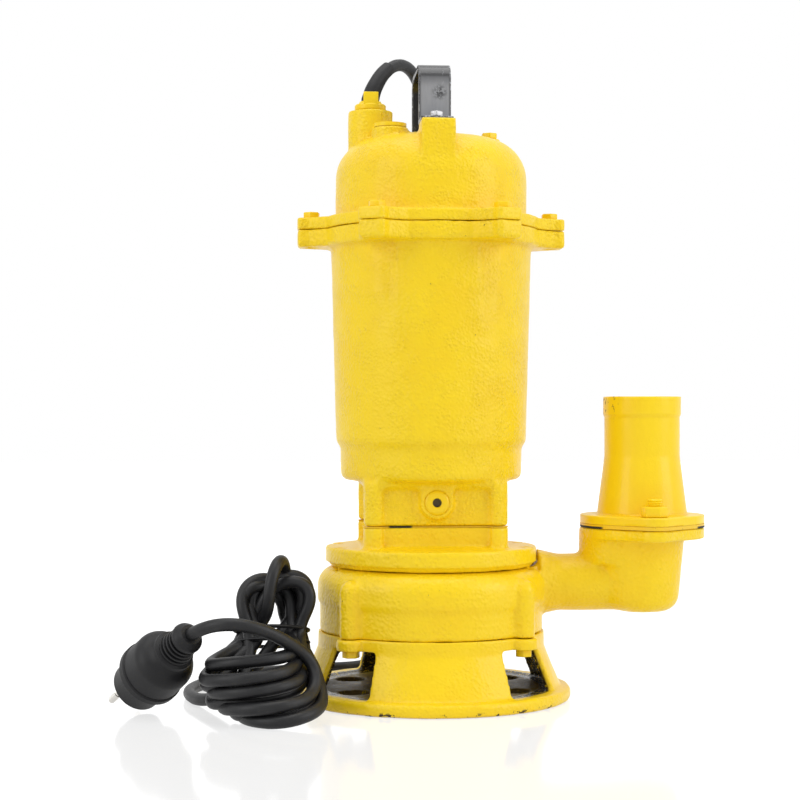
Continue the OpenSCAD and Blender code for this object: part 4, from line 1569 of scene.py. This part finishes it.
@dataclass
class Studio:
    """The floor, the lights and the camera."""

    camera_at: Point = (-0.1014, -1.2109, 0.190)
    looking: Point = (0.0663, 0.9978, 0.0)
    lens: float = 81.0
    horizon_shift: float = 15.0 / 800.0
    floor_half: float = 6000.0
    floor_grey: float = 0.24
    floor_glow: float = 0.70
    plain_grey: float = 0.92
    dim: float = 0.52
    lamps: tuple[tuple[str, Point, Pair, float], ...] = (
        ("left_box", (-1.5, -0.9, 0.9), (0.9, 1.4), 10.0),
        ("right_box", (1.6, -0.8, 0.9), (0.9, 1.4), 12.5),
        ("top_box", (0.0, -0.1, 1.7), (1.4, 1.2), 11.5))
    aim: Point = (0.0, 0.0, 0.2)

    @staticmethod
    def _seen(recipe: Recipe) -> Signal:
        """1 for a ray from the camera, off a glossy surface or through a clear one, and else 0."""
        rays = [recipe.value("LightPath", f"Is {kind} Ray") for kind in ("Camera", "Glossy", "Transmission")]
        return rays[0].largest(rays[1]).largest(rays[2])

    @staticmethod
    def _aimed(held: Piece, place: Point, along: Vector) -> None:
        """Places a lamp or camera, level and looking along a direction."""
        held.location = place
        held.rotation_euler = along.to_track_quat("-Z", "Y").to_euler()

    def camera(self) -> None:
        """Places the camera, level, at the height of the bead on the hose tail."""
        made = bpy.data.cameras.new("camera")
        made.lens = self.lens
        made.sensor_width = 36.0
        made.shift_y = self.horizon_shift
        held = shown(made)
        self._aimed(held, self.camera_at, Vector(self.looking))
        bpy.context.scene.camera = held

    def floor(self) -> None:
        """Lays the floor, glossy and glowing white where it is seen, and plain for other rays."""
        form = Form()
        bmesh.ops.create_grid(form.bm, x_segments=1, y_segments=1, size=self.floor_half)
        bmesh.ops.translate(form.bm, vec=(0, 0, -0.05), verts=form.bm.verts)
        piece = shown(form.mesh("studio_floor"))
        recipe = Recipe("studio_floor")
        gloss = {"Base Color": (self.floor_grey,) * 3, "Roughness": 0.10, "IOR": 1.26}
        glow = {"Color": (1.0, 1.0, 1.0), "Strength": self.floor_glow}
        both = recipe.value("AddShader", "Shader", [recipe.value("BsdfPrincipled", "BSDF", gloss),
                                                    recipe.value("Emission", "Emission", glow)])
        plain = recipe.value("BsdfDiffuse", "BSDF", {"Color": (self.plain_grey,) * 3})
        mixed = recipe.value("MixShader", "Shader", [self._seen(recipe), plain, both])
        piece.data.materials.append(recipe.close(mixed))

    def backdrop(self) -> None:
        """Lights the world a plain grey, which looks white to the camera and to gloss."""
        recipe = Recipe("studio", bpy.data.worlds.new("studio"))
        greys = [recipe.value("Background", "Background", {"Color": (1.0, 1.0, 1.0), "Strength": power})
                 for power in (self.dim, 1.0)]
        mixed = recipe.value("MixShader", "Shader", [self._seen(recipe), *greys])
        bpy.context.scene.world = recipe.close(mixed, "OutputWorld")

    def light(self) -> None:
        """Hangs the soft boxes: each has a name, a place in metres, a size in metres and watts."""
        for name, place, size, power in self.lamps:
            made = bpy.data.lights.new(name, "AREA")
            made.shape = "RECTANGLE"
            made.size, made.size_y = size
            made.energy = power
            self._aimed(shown(made), place, Vector(self.aim) - Vector(place))

    def build(self) -> None:
        """Sets the floor, the backdrop, the lamps and the view transform."""
        self.floor()
        self.backdrop()
        self.light()
        bpy.context.scene.view_settings.view_transform = "Standard"


def finishes() -> dict[str, object]:
    """Lists the pump's finishes.

    Returns:
        The finishes by name.
    """
    return {finish.name: finish for finish in (
        CastEnamel("barrel_enamel", 1.9, 0.95),
        CastEnamel("cover_enamel", 1.8, 0.85),
        CastEnamel("casing_enamel", 2.3, 0.75),
        CastEnamel("base_enamel", 2.0, 0.50, Wear.STRAINER),
        CastEnamel("tail_enamel", 1.4, 0.12, Wear.HOSE_TAIL),
        CastEnamel("fastener_enamel", 1.2, 0.05),
        CastEnamel("keyhole_enamel", 1.2, 0.05, Wear.KEYHOLE),
        PaintedJoint("outlet_joint", 33.0, 90.0, 144.0, 115.6),
        PaintedJoint("chamber_joint", -30.0, -17.0),
        Metal("cast_iron", (0.10, 0.095, 0.09), 0.55, 0.0, (0.09, 0.035, 0.015), 0.4),
        Metal("ground_steel", (0.62, 0.62, 0.63), 0.20, 0.6, stained=0.06),
        Metal("zinc", (0.66, 0.67, 0.69), 0.24, 0.1, stained=0.08),
        Metal("worn_zinc", (0.40, 0.40, 0.41), 0.42, 0.1, stained=0.55),
        Metal("nickel", (0.72, 0.70, 0.66), 0.16, 0.1, stained=0.05),
        Metal("brass", (0.72, 0.50, 0.20), 0.24, 0.2, stained=0.1),
        Metal("aluminium", (0.70, 0.71, 0.72), 0.42, 0.2, stained=0.06),
        Laminations("laminations"),
        Windings("windings"),
        Moulded("seal_rubber", (0.022, 0.022, 0.022), 0.5, 0.8, 0.02),
        Moulded("lead_sheath", (0.009, 0.009, 0.010), 0.38, 1.6, 0.03, 0.06, gloss=0.34),
        Moulded("moulded_rubber", (0.008, 0.008, 0.009), 0.42, 0.7, 0.03, 0.05, gloss=0.30),
        Moulded("ceramic", (0.84, 0.82, 0.77), 0.12, 0.5, 0.005, 0.05, (0.6, 0.55, 0.45)),
        Moulded("carbon", (0.03, 0.03, 0.032), 0.30, 0.4, 0.01),
        Moulded("fibre", (0.20, 0.055, 0.018), 0.65, 0.5, 0.05, 0.2, (0.3, 0.12, 0.05)),
        Moulded("white_plastic", (0.74, 0.73, 0.68), 0.30, 0.8, 0.02, 0.1, (0.5, 0.45, 0.35)),
        BlackStrap("black_strap"))}


def main() -> None:
    """Builds the studio and the pump, piece by piece."""
    logging.basicConfig(level=logging.INFO, format="%(name)s: %(message)s")
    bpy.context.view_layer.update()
    shop = Workshop(finishes())
    studio = Studio()
    studio.camera()
    lead = MainsLead()
    plug = MainsPlug().build(shop)
    relief = StrainRelief().build(shop, lead)
    ties = LeadTies().build(shop, lead)
    lead.build(shop, [*plug, relief, ties])
    for part in (StrainerBase(), PumpCasing(), HoseTail(), PumpLid(), MotorHousing(), TopCover(),
                 CarryHandle(), HexBolts("cover_bolts"),
                 HexBolts("base_bolts", head=4.5, facing=Facing.DOWN), Studs("outlet_studs"),
                 HexNuts("outlet_nuts"),
                 HexBolts("handle_screws", finish="worn_zinc", slot="zinc_steel", across=8.0, head=3.6,
                          radius=2.5),
                 HexBolts("dome_screw"), SocketScrews("casing_screws"), OilPlug(), CableGland(),
                 InnerWorks()):
        part.build(shop)
    studio.build()


if __name__ == "__main__":
    main()
